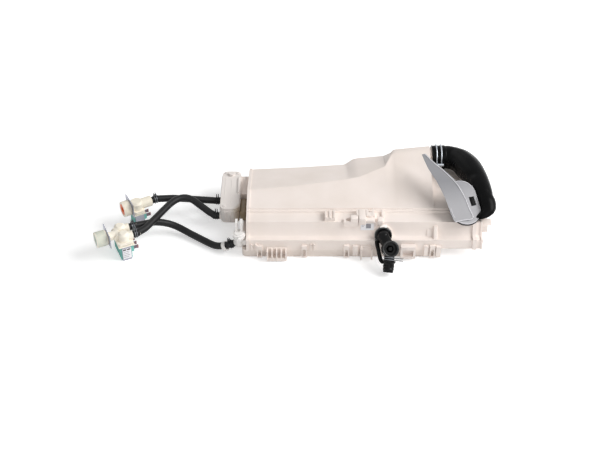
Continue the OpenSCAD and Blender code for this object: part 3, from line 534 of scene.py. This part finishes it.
def facing(origin, direction):
    """A placing matrix with Z along a direction."""
    return place_at(origin, Vector(direction).orthogonal(), Vector(direction).normalized())


# Hoses, on the routes that part.scad gives their solids

HOSE_RADIUS = 6
HOSE_STEPS = 4
EASE_REACH = 2.5
EASE_PASSES = 60
TABLE_GAP = 0.05
HOSES = (
    ("hot_water_hose", "hot_hose",
     [(-322, 4, 42), (-311, 10, 42), (-298, 15, 40), (-284, 19, 36), (-267, 21, 32),
      (-250, 24, 29), (-234, 26, 26), (-219, 27, 23), (-204, 27, 23)]),
    ("main_water_hose", "main_hose",
     [(-346, -86, 42), (-335, -81, 42), (-324, -70, 42), (-313, -49, 43), (-303, -29, 44),
      (-292, -9, 45), (-279, 6, 45), (-264, 12, 44), (-248, 8, 39), (-234, -4, 30),
      (-219, -13, 23), (-204, -13, 23)]),
    ("prewash_water_hose", "prewash_hose",
     [(-354, -67, 42), (-342, -61, 41), (-330, -51, 38), (-317, -40, 33), (-302, -33, 26),
      (-286, -30, 18), (-270, -34, 11), (-254, -44, 7), (-240, -55, 6), (-224, -67, 6),
      (-210, -76, 6.5), (-199, -80, 9), (-189, -82, 15.4), (-178, -82, 20.4)]),
)


def ease(path):
    """Even out a hose's bends. Its ends hold, and no point goes past its reach or the table."""
    reach = EASE_REACH * MM
    moved = [point.copy() for point in path]
    for _ in range(EASE_PASSES):
        last = [point.copy() for point in moved]
        for i in range(HOSE_STEPS, len(path) - HOSE_STEPS):
            aim = (last[i - 2] + last[i - 1] + last[i] + last[i + 1] + last[i + 2]) / 5
            step = aim - path[i]
            if step.length > reach:
                step *= reach / step.length
            moved[i] = path[i] + step
            moved[i].z = max(moved[i].z, (HOSE_RADIUS + TABLE_GAP) * MM)
    return moved


def make_hoses():
    for name, node, route in HOSES:
        path = ease(smooth_path(route, HOSE_STEPS))
        hose = tube(name, path, HOSE_RADIUS * MM, "black_rubber")
        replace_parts(hose, node)


# The spout's plate, and the drain elbow: a smooth rubber moulding over the carried route

PLATE_AT = (200, -54, 83.5)
PLATE_DIR = (0.15, -0.5, 0.85)
PLATE_L = 77
PLATE_W = 50
PLATE_STEPS = 28
LIP_OUT = 1.5
LIP_IN = 6
LIP_T = 2.5
# The oval lip under the plate, as steps outward and up from the plate's outline
LIP_PROFILE = [
    (-LIP_IN, -LIP_T + 0.4), (-LIP_IN + 0.4, -LIP_T), (LIP_OUT - 1.0, -LIP_T),
    (LIP_OUT - 0.3, -LIP_T + 0.3), (LIP_OUT, -LIP_T + 1.0), (LIP_OUT, -0.8),
    (LIP_OUT - 0.3, -0.3), (LIP_OUT - 0.8, -0.1), (-LIP_IN + 0.4, -0.1), (-LIP_IN, -0.5)]
PRESSED_Z = -0.3
ELBOW_STEPS = 6
ELBOW_SIDES = 56
ELBOW_WALL = 3
ELBOW_ROUTE = [(158, 74, 82), (166, 74, 82), (178.5, 74, 82), (185.5, 74, 82), (197, 68, 83),
               (208, 55, 86), (218, 33, 87.5), (226, 8, 88), (232, -15, 86.5), (236, -37, 84.5),
               (240, -55, 80), (238, -64, 76.5), (229, -68, 71.5), (219, -66, 68.5)]
ELBOW_RADII = [20, 20, 19.9, 19.8, 20, 21, 22, 20, 17.5, 15.5, 14, 13, 12.5, 12]
ELBOW_FLAT = [1, 1, 1, 1, 1, 1, 1, 1, 1, 0.9, 0.8, 0.7, 0.45, 0.28]
# Beads at the cuff's edge and end, and soft folds in the bends. Each has a height, a place
# along the route's points and a width there
ELBOW_SWELLS = ((0.9, 0.08, 0.1), (0.7, 2.1, 0.16), (-0.5, 2.7, 0.2), (-0.8, 9.2, 0.22),
                (0.5, 9.8, 0.25))
# Creases where the inner side is pressed together: depth, place, width and slant
ELBOW_CREASES = ((1.7, 6.7, 0.2, 0.7), (1.0, 7.6, 0.25, -0.4))
# Where round the elbow the creases are deepest, and how fast they fade from there
CREASE_AT = 0.4
CREASE_FADE = 1.5
PARTING_H = 0.35
PARTING_W = 0.06
CUFF_END = 2.4
# A long low fold over the top: its height, and its middle and width along the route and round it
FOLD_H = 0.7
FOLD_ALONG = (5.0, 1.7)
FOLD_ROUND = (1.75, 0.16)


def plate_frame():
    """The frame that the source's own turn gives the spout's plate."""
    n = Vector(PLATE_DIR).normalized()
    turn = math.atan2(n.y, n.x)
    tilt = math.acos(n.z)
    matrix = Matrix.Rotation(turn, 4, "Z") @ Matrix.Rotation(tilt, 4, "Y")
    matrix.translation = Vector(PLATE_AT) * MM
    return matrix


def plate_rings(mesh, place, profile):
    """A profile, as steps outward and up, carried round the plate's outline."""
    return [[mesh.verts.new(place @ (Vector((*(point + normal * out), up)) * MM))
             for out, up in profile] for point, normal in stadium(PLATE_L, PLATE_W, PLATE_STEPS)]


def press_under_plate(point, into, back):
    """Rubber that would stand above the plate's underside within its outline lies flat under it."""
    q = into @ point / MM
    r = PLATE_W / 2
    core = max(abs(q.x) - (PLATE_L / 2 - r), 0)
    if r + LIP_OUT > math.hypot(core, q.y) and q.z > PRESSED_Z:
        q.z = PRESSED_Z
        return back @ (q * MM)
    return point


def hump(x, middle, width, power=2):
    """1 at the middle, and falling away to 0 on both sides."""
    return math.exp(-((x - middle) / width) ** power)


def elbow_relief(along, a):
    """How far the rubber stands out at a place along its route and an angle round it."""
    # The mould's parting line runs along both sides
    relief = PARTING_H * hump(math.sin(a), 0, PARTING_W) if along > CUFF_END else 0
    relief += FOLD_H * hump(along, *FOLD_ALONG, power=4) * hump(a, *FOLD_ROUND)
    inward = max(math.cos(a - CREASE_AT), 0) ** CREASE_FADE
    for depth, place, width, slant in ELBOW_CREASES:
        relief -= inward * depth * hump(along - slant * math.sin(a), place, width)
    return relief


def elbow_wall(mesh, depth, into, back):
    """The rings of the elbow's outside, or of its plain inside at the given depth."""
    path = smooth_path(ELBOW_ROUTE, ELBOW_STEPS)
    radii = smooth_values(ELBOW_RADII, ELBOW_STEPS)
    flats = smooth_values(ELBOW_FLAT, ELBOW_STEPS)
    rings = []
    for i, (point, radius, flat) in enumerate(zip(path, radii, flats)):
        ahead = heading(path, i)
        across = ahead.cross(UP).normalized()
        up = across.cross(ahead)
        along = i / ELBOW_STEPS
        swell = sum(height * hump(along, place, width) for height, place, width in ELBOW_SWELLS)
        ring = []
        for a in round_angles(ELBOW_SIDES):
            relief = swell if depth else swell + elbow_relief(along, a)
            w = (radius - depth + relief) * MM
            h = (radius * flat - depth * math.sqrt(flat) + relief * flat) * MM
            spot = point + w * math.cos(a) * across + h * math.sin(a) * up
            ring.append(mesh.verts.new(spot if depth else press_under_plate(spot, into, back)))
        rings.append(ring)
    return rings


def make_drain_elbow():
    back = plate_frame()
    into = back.inverted()
    mesh = bmesh.new()
    outer = elbow_wall(mesh, 0, into, back)
    inner = elbow_wall(mesh, ELBOW_WALL, into, back)
    join_rings(mesh, outer)
    join_rings(mesh, list(reversed(inner)))
    join_rings(mesh, [inner[0], outer[0]])
    join_rings(mesh, [outer[-1], inner[-1]])
    join_rings(mesh, plate_rings(mesh, back, LIP_PROFILE), closed=True)
    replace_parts(piece("drain_elbow", mesh, "elbow_rubber"), "drain_hose")


# The spout's edges, beads whose pale grey is a painted highlight on its rims, and the rubber tab
# that shows through its slot

BLADE_EDGE = [(139, 17, 131), (152, 2, 125), (172, -15, 116), (189, -32, 106), (201, -49, 93),
              (208, -65, 82), (213.4, -76.5, 74.3), (212, -81.2, 71.6), (200, -83.4, 71),
              (184.6, -87.4, 70.2)]
BLADE_EDGE_R = 0.9
PLATE_EDGE = (-1.1, 0.1, 1.6, 2.7)
PLATE_EDGE_SIDES = 8


def make_spout_detail():
    path = smooth_path(BLADE_EDGE, DETAIL_STEPS)
    tube("spout_blade_edge", path, BLADE_EDGE_R * MM, "highlight_grey_edge", sides=12)
    place = plate_frame()
    mesh = bmesh.new()
    profile = bead(*PLATE_EDGE, PLATE_EDGE_SIDES)
    join_rings(mesh, plate_rings(mesh, place, profile), closed=True)
    piece("spout_plate_edge", mesh, "highlight_grey_edge")
    soft_block("drain_elbow_tab", place, (-7, 11, -2.6), (9, 20, 0.9), 0.4, "elbow_rubber")


# The bare label's grey square and lines, on the inclined wall

LABEL_AT = (31, -79.63, 45.28)
LABEL_TILT = math.radians(74.7)
LABEL_TOP = 0.38
SQUARE_T = 0.08
LINE_T = 0.06
# Each line's foot and end on the label
LABEL_LINES = ((9.6, 6.6), (7.0, 5.2))


def make_label_square():
    place = place_at(LABEL_AT, (1, 0, 0), (0, -math.sin(LABEL_TILT), math.cos(LABEL_TILT)))
    soft_block("label_square", place, (8.8, 4.2, LABEL_TOP), (16.8, 12.0, LABEL_TOP + SQUARE_T),
               0.03, "label_print")
    for i, (y, x1) in enumerate(LABEL_LINES):
        soft_block(f"label_line_{i + 1}", place, (2.0, y, LABEL_TOP),
                   (x1, y + 0.7, LABEL_TOP + LINE_T), 0.02, "label_print")


# Valves

HOT_AT = (-343, -7, 0)
HOT_YAW = math.radians(28)
COLD_AT = (-367, -84, 0)
COLD_YAW = math.radians(24)
FLOW_Z = 42
INLET_R = 13.2
THREAD_PITCH = 1.81
THREAD_STEPS = 36
THREAD_H = 0.5
THREAD_END = 0.15
# Each coil's name, its valve's place and turn, and its own place along and across the valve
COILS = (("hot", HOT_AT, HOT_YAW, -4, 0), ("main", COLD_AT, COLD_YAW, 4, -10.5),
         ("prewash", COLD_AT, COLD_YAW, 4, 10.5))
# The ribs at both ends of a coil
RIB_ENDS = (("a", -10.35), ("b", 8.9))
RIBS = 5
RIB_FOOT = 4
RIB_PITCH = 4.6
RIB_H = 1.6
RIB_T = 0.5
RIB_HALF = 8.3
# The insulated ends of its two blades
TIP_SIDES = (("a", -5), ("b", 5))
TIP_HALF = 0.75
TIP_X = (19.2, 21.6)
TIP_Z = (15.3, 22.2)
# Where the label of the main coil, its bars and its lines start and end across the valve, and
# each bar's and line's ends along it and its foot
COIL_LABEL_Y = (-10.5, -10.28)
COIL_BAR_Y = (-10.56, -10.46)
COIL_LINE_Y = (-10.54, -10.46)
# The dark bars near the label's top are partly print and partly painted shade of the gap between
# the coil and its bonnet
COIL_BARS = ((-6.6, -0.8, 21), (0.4, 6.2, 21))
COIL_BAR_H = 2.6
COIL_LINES = ((-5.8, 4.6, 17.6), (-5.8, 3.3, 14.0), (-5.8, 4.6, 10.4), (-5.8, 3.3, 6.8))
COIL_LINE_H = 0.9
SPRING_R = 2
SPRING_WIRE_R = 0.35
SPRING_TURNS = 6
SPRING_STEPS = 20
SPRING_FOOT = 4.7
SPRING_TOP = 17.1


def turned(at, yaw, x=0, y=0, z=0):
    """A valve's own frame, moved by x, y and z within it."""
    matrix = Matrix.Translation(Vector(at) * MM) @ Matrix.Rotation(yaw, 4, "Z")
    return matrix @ Matrix.Translation(Vector((x, y, z)) * MM)


def make_thread(name, place, x0, x1, slot):
    """The ridge of a supply thread, wound along the place's X and fading out at both ends."""
    turns = (x1 - x0) / THREAD_PITCH
    count = int(turns * THREAD_STEPS)
    fade = THREAD_STEPS / 2
    radii = [THREAD_H * MM * min(1, THREAD_END + i / fade, THREAD_END + (count - i) / fade)
             for i in range(count + 1)]
    tube(name, coil_path(place, INLET_R, x0, x1, turns, count, axis=0), radii, slot, sides=6)


def make_coil_detail(name, place):
    for end, x in RIB_ENDS:
        for i in range(RIBS):
            z = RIB_FOOT + RIB_PITCH * i
            soft_block(f"{name}_coil_rib_{end}{i + 1}", place, (x, -RIB_HALF, z),
                       (x + RIB_T, RIB_HALF, z + RIB_H), 0.15, "teal_plastic")
    for side, y in TIP_SIDES:
        soft_block(f"{name}_blade_tip_{side}", place, (TIP_X[0], y - TIP_HALF, TIP_Z[0]),
                   (TIP_X[1], y + TIP_HALF, TIP_Z[1]), 0.3, "red_tip")


def make_coil_label(place):
    low, high = COIL_LABEL_Y
    soft_block("main_coil_label", place, (-7.2, low, 3.2), (7.4, high, 24.6), 0.08, "label_white")
    low, high = COIL_BAR_Y
    # Dark bars: partly print, partly painted shade of the gap above the coil
    for i, (x0, x1, z) in enumerate(COIL_BARS):
        soft_block(f"main_coil_shade_bar_{i + 1}", place, (x0, low, z), (x1, high, z + COIL_BAR_H), 0.04,
                   "valve_rubber")
    low, high = COIL_LINE_Y
    for i, (x0, x1, z) in enumerate(COIL_LINES):
        soft_block(f"main_coil_line_{i + 1}", place, (x0, low, z), (x1, high, z + COIL_LINE_H),
                   0.03, "label_print")


def make_spring(name, place):
    """A return spring, wound as a helix of wire with a mesh of its own."""
    path = coil_path(place, SPRING_R, SPRING_FOOT + SPRING_WIRE_R, SPRING_TOP - SPRING_WIRE_R,
                     SPRING_TURNS, SPRING_TURNS * SPRING_STEPS)
    spring = tube(f"{name}_return_spring", path, SPRING_WIRE_R * MM, "spring_steel", sides=8)
    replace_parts(spring, f"{name}_spring")
    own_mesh(spring)


def make_valve_detail():
    hot, cold = turned(HOT_AT, HOT_YAW, z=FLOW_Z), turned(COLD_AT, COLD_YAW, z=FLOW_Z)
    make_thread("hot_inlet_thread", hot, -29.2, -18.0, "valve_cream")
    make_thread("cold_inlet_thread", cold, -40.2, -24.2, "pale_green")
    places = {name: turned(at, yaw, x, y) for name, at, yaw, x, y in COILS}
    for name, place in places.items():
        make_coil_detail(name, place)
    make_coil_label(places["main"])
    for name, place in places.items():
        make_spring(name, place)


# Between the manifold and the housing, and on the manifold

# Each ridge's x, its ends in y and its height
MANIFOLD_RIDGES = ((-198, -8, 62, 0.35), (-187, -10, 56, 0.35), (-175, 18, 62, 2.4))
MANIFOLD_BOSSES = ((-197, 74), (-177, 74), (-197, -17))
LID_Z = 46
LID_DIP = 0.6
BOSS_R = 2.6
BOSS_H = 1.4
# Welding tabs down the near end
MANIFOLD_TABS = (-196, -188, -180)
TAB_HALF = 1.5
TAB_Y = (-25.6, -23.4)
TAB_Z = (20, 38.6)


def make_manifold_detail():
    # A brown block round the near duct, partly sealing compound and partly painted shade of the gap
    # between manifold and housing, and the ivory neck of the far one
    soft_block("duct_seal_and_shade_near", HERE, (-171.4, -20, 16.4), (-160.6, 18, 35.0), 2.0, "seal_and_shade_brown")
    soft_block("duct_seal_far", HERE, (-171.4, 24, 16.4), (-158.6, 74, 40.0), 1.2, "ivory_plastic")
    for i, (x, y0, y1, h) in enumerate(MANIFOLD_RIDGES):
        half = 0.4 + h / 3
        soft_block(f"manifold_ridge_{i + 1}", HERE, (x - half, y0, LID_Z - LID_DIP),
                   (x + half, y1, LID_Z + h), 0.15, "manifold_plastic")
    for i, (x, y) in enumerate(MANIFOLD_BOSSES):
        soft_block(f"manifold_boss_{i + 1}", HERE, (x - BOSS_R, y - BOSS_R, LID_Z - LID_DIP),
                   (x + BOSS_R, y + BOSS_R, LID_Z + BOSS_H), 0.9, "manifold_plastic")
    for i, x in enumerate(MANIFOLD_TABS):
        soft_block(f"manifold_tab_{i + 1}", HERE, (x - TAB_HALF, TAB_Y[0], TAB_Z[0]),
                   (x + TAB_HALF, TAB_Y[1], TAB_Z[1]), 0.4, "manifold_plastic")


# The dosing connector: its plug on a flat strap, and the beads and ribs of collar and socket

PLUG_AT = (76.3, -128.63, 22.41)
PLUG_DIR = (-3.5, -26, -29)
PLUG_PROFILE = [
    (0.5, 0), (10.4, 0), (10.9, 0.4), (10.9, 3.1), (10.4, 3.5), (9.5, 3.8), (9.0, 4.8), (9.0, 8.2),
    (9.5, 8.7), (9.5, 10.0), (9.0, 10.5), (8.9, 13.2), (9.2, 13.7), (9.2, 14.8), (8.7, 15.3),
    (8.4, 18.6), (8.1, 19.3), (7.4, 19.7), (6.5, 19.5), (6.1, 18.8), (5.8, 16.6), (0.5, 16.2)]
STRAP_ROUTE = [(57.4, -92.5, 36.5), (58.0, -101, 32.6), (59.8, -110, 28.8), (61.2, -119, 25.0),
               (63.4, -127.5, 21.6), (67.4, -131.0, 20.4)]
STRAP_ACROSS = (1, 0.15, 0)
STRAP_W = 7
STRAP_T = 2.6
COLLAR = facing((68, -86, 41.5), (0, -0.92, 0.39))
SOCKET = facing((78, -116, 36.5), (0.1, -0.75, 0.65))
BEAK_PROFILE = [(0.4, -0.5), (6.6, -0.5), (6.6, 0.3), (3.4, 3.6), (2.6, 3.8), (0.4, 3.0)]
# Each ring's name, place, two radii, two heights and finish
DOSING_RINGS = (
    ("dosing_collar_bead", COLLAR, (11.2, 14.3), (4.7, 6.9), "wet_rubber"),
    ("dosing_barrel_rib_1", COLLAR, (9.0, 10.2), (7.5, 8.9), "gloss_rubber"),
    ("dosing_barrel_rib_2", COLLAR, (9.0, 10.2), (9.7, 11.1), "gloss_rubber"),
    ("dosing_socket_bead", SOCKET, (11.0, 13.9), (6.6, 8.9), "wet_rubber"),
    ("dosing_socket_ring", SOCKET, (12.9, 13.9), (-6.6, -4.9), "gloss_rubber"),
)


def make_dosing_detail():
    plug = lathe("dosing_plug_body", facing(PLUG_AT, PLUG_DIR), PLUG_PROFILE, "gloss_rubber")
    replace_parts(plug, "dosing_plug")
    band("dosing_plug_strap", smooth_path(STRAP_ROUTE, DETAIL_STEPS), STRAP_ACROSS, STRAP_W,
         STRAP_T, "gloss_rubber")
    for name, place, radii, heights, slot in DOSING_RINGS:
        ring_piece(name, place, bead(*radii, *heights), slot)
    lathe("dosing_socket_beak", SOCKET, BEAK_PROFILE, "gloss_rubber", sides=6)


# Mouldings on the housing, over its carried ribs and hooks: name, low and high corner, rounding

MOULDINGS = (
    ("mouth_tab_upper", (231.0, -74, 52.0), (247.5, -60, 55.2), 0.8),
    ("mouth_tab_side", (231.0, -76.5, 39.0), (241.0, -73.8, 55.0), 0.8),
    ("mouth_rib", (214.5, -75, 58.2), (217.5, -50, 62.2), 0.8),
    ("strip_rib_web", (-25.6, -73, 59.5), (-13.4, -54, 66), 0.6),
    ("strip_hook_body", (14, -79.2, 55), (27, -67.6, 70), 1.4),
    ("strip_finger", (27.6, -80, 57), (39.3, -56, 71), 1.4),
    ("strip_frame_web", (43.5, -71, 61), (50.5, -60.5, 69.4), 0.5),
    ("strip_shelf", (38, -78.6, 59), (54, -69.8, 66), 1.2),
    ("strip_fin", (58.5, -80, 56), (67.5, -68, 66), 1.3),
    ("rim_apron", (-123.4, -107.6, 2.4), (-91.6, -97.4, 9), 0.5),
)


def make_mouldings():
    for name, low, high, radius in MOULDINGS:
        soft_block(name, HERE, low, high, radius, "ivory_plastic")
    soft_wedge("wall_fin", 150.6, 157.6, (-93, -80, 36.4), (-81, -74, 53.5), 1.2, "ivory_plastic")
    # Painted highlight, partly a pale boss: a white block on the incline behind the collar ring,
    # where a white glint shows
    soft_block("dosing_boss_glint", HERE, (62.5, -84, 50.5), (73.5, -76, 55.4), 1.1, "white_plastic")


# Floor, background and lamps. All of this is in metres

FLOOR_HALF = 6.0
FLOOR_DROP = 0.0002
FLOOR_COLOUR = (0.86, 0.86, 0.86, 1)
FLOOR_ROUGH = 0.9
# The floor's glow near the object, and the white that it grows to where the lamps don't reach
GLOW = (0.42, 1.0)
GLOW_REACH = (0.8, 1.9)
WHITE = (1, 1, 1, 1)
WORLD_LIGHT = 0.3
WORLD_SEEN = 1.0
LAMPS_AIM = Vector((-0.07, 0, 0.03))
# Each lamp's name, place, width and power
LAMPS = (("key", (2.5, -0.35, 2.2), 2.6, 108), ("fill", (0.4, -1.8, 1.5), 1.6, 7),
         ("back", (-1.2, 1.6, 1.5), 1.4, 3), ("left", (-1.7, -1.6, 0.9), 1.6, 4))


def seen_directly(nodes, links):
    """1 where the camera, a gloss or clear plastic looks at the surroundings, else 0."""
    ray = nodes.new("ShaderNodeLightPath")
    total = ray.outputs["Is Camera Ray"]
    for name in ("Is Glossy Ray", "Is Transmission Ray"):
        more = nodes.new("ShaderNodeMath")
        more.operation = "MAXIMUM"
        links.new(total, more.inputs[0])
        links.new(ray.outputs[name], more.inputs[1])
        total = more.outputs["Value"]
    return total


def mix_by_sight(nodes, links, hidden, seen, output):
    """Light the object with one shader and show another where it is seen directly."""
    mix = nodes.new("ShaderNodeMixShader")
    links.new(seen_directly(nodes, links), mix.inputs["Fac"])
    links.new(hidden.outputs[0], mix.inputs[1])
    links.new(seen.outputs[0], mix.inputs[2])
    links.new(mix.outputs[0], output.inputs[0])


def make_floor():
    material, nodes, links, shader = new_material("floor")
    shader.inputs["Base Color"].default_value = FLOOR_COLOUR
    shader.inputs["Roughness"].default_value = FLOOR_ROUGH
    distance = nodes.new("ShaderNodeVectorMath")
    distance.operation = "LENGTH"
    links.new(nodes.new("ShaderNodeTexCoord").outputs["Object"], distance.inputs[0])
    grow = nodes.new("ShaderNodeMapRange")
    grow.inputs["From Min"].default_value, grow.inputs["From Max"].default_value = GLOW_REACH
    grow.inputs["To Min"].default_value, grow.inputs["To Max"].default_value = GLOW
    links.new(distance.outputs["Value"], grow.inputs["Value"])
    glow = nodes.new("ShaderNodeEmission")
    links.new(grow.outputs["Result"], glow.inputs["Strength"])
    glowing = nodes.new("ShaderNodeAddShader")
    links.new(shader.outputs[0], glowing.inputs[0])
    links.new(glow.outputs[0], glowing.inputs[1])
    mix_by_sight(nodes, links, shader, glowing, nodes["Material Output"])
    mesh = bmesh.new()
    corners = ((-1, -1), (1, -1), (1, 1), (-1, 1))
    mesh.faces.new([mesh.verts.new((x * FLOOR_HALF, y * FLOOR_HALF, -FLOOR_DROP))
                    for x, y in corners])
    data = bpy.data.meshes.new("floor")
    mesh.to_mesh(data)
    mesh.free()
    data.materials.append(material)
    floor = bpy.data.objects.new("floor", data)
    SCENE.collection.objects.link(floor)


def make_lamp(name, place, size, power):
    data = bpy.data.lights.new(name, "AREA")
    data.shape = "DISK"
    data.size = size
    data.energy = power
    lamp = bpy.data.objects.new(name, data)
    lamp.location = Vector(place)
    lamp.rotation_euler = (LAMPS_AIM - lamp.location).to_track_quat("-Z", "Y").to_euler()
    SCENE.collection.objects.link(lamp)


def make_world():
    world = bpy.data.worlds.new("world")
    world.use_nodes = True
    SCENE.world = world
    nodes, links = world.node_tree.nodes, world.node_tree.links
    nodes.clear()
    soft, seen = nodes.new("ShaderNodeBackground"), nodes.new("ShaderNodeBackground")
    for background, strength in ((soft, WORLD_LIGHT), (seen, WORLD_SEEN)):
        background.inputs["Color"].default_value = WHITE
        background.inputs["Strength"].default_value = strength
    mix_by_sight(nodes, links, soft, seen, nodes.new("ShaderNodeOutputWorld"))


def make_stage():
    make_floor()
    for lamp in LAMPS:
        make_lamp(*lamp)
    make_world()
    SCENE.view_settings.view_transform = "Standard"


make_camera()
make_hoses()
dress_all()
make_drain_elbow()
make_label_square()
make_valve_detail()
make_manifold_detail()
make_dosing_detail()
make_mouldings()
make_spout_detail()
make_stage()
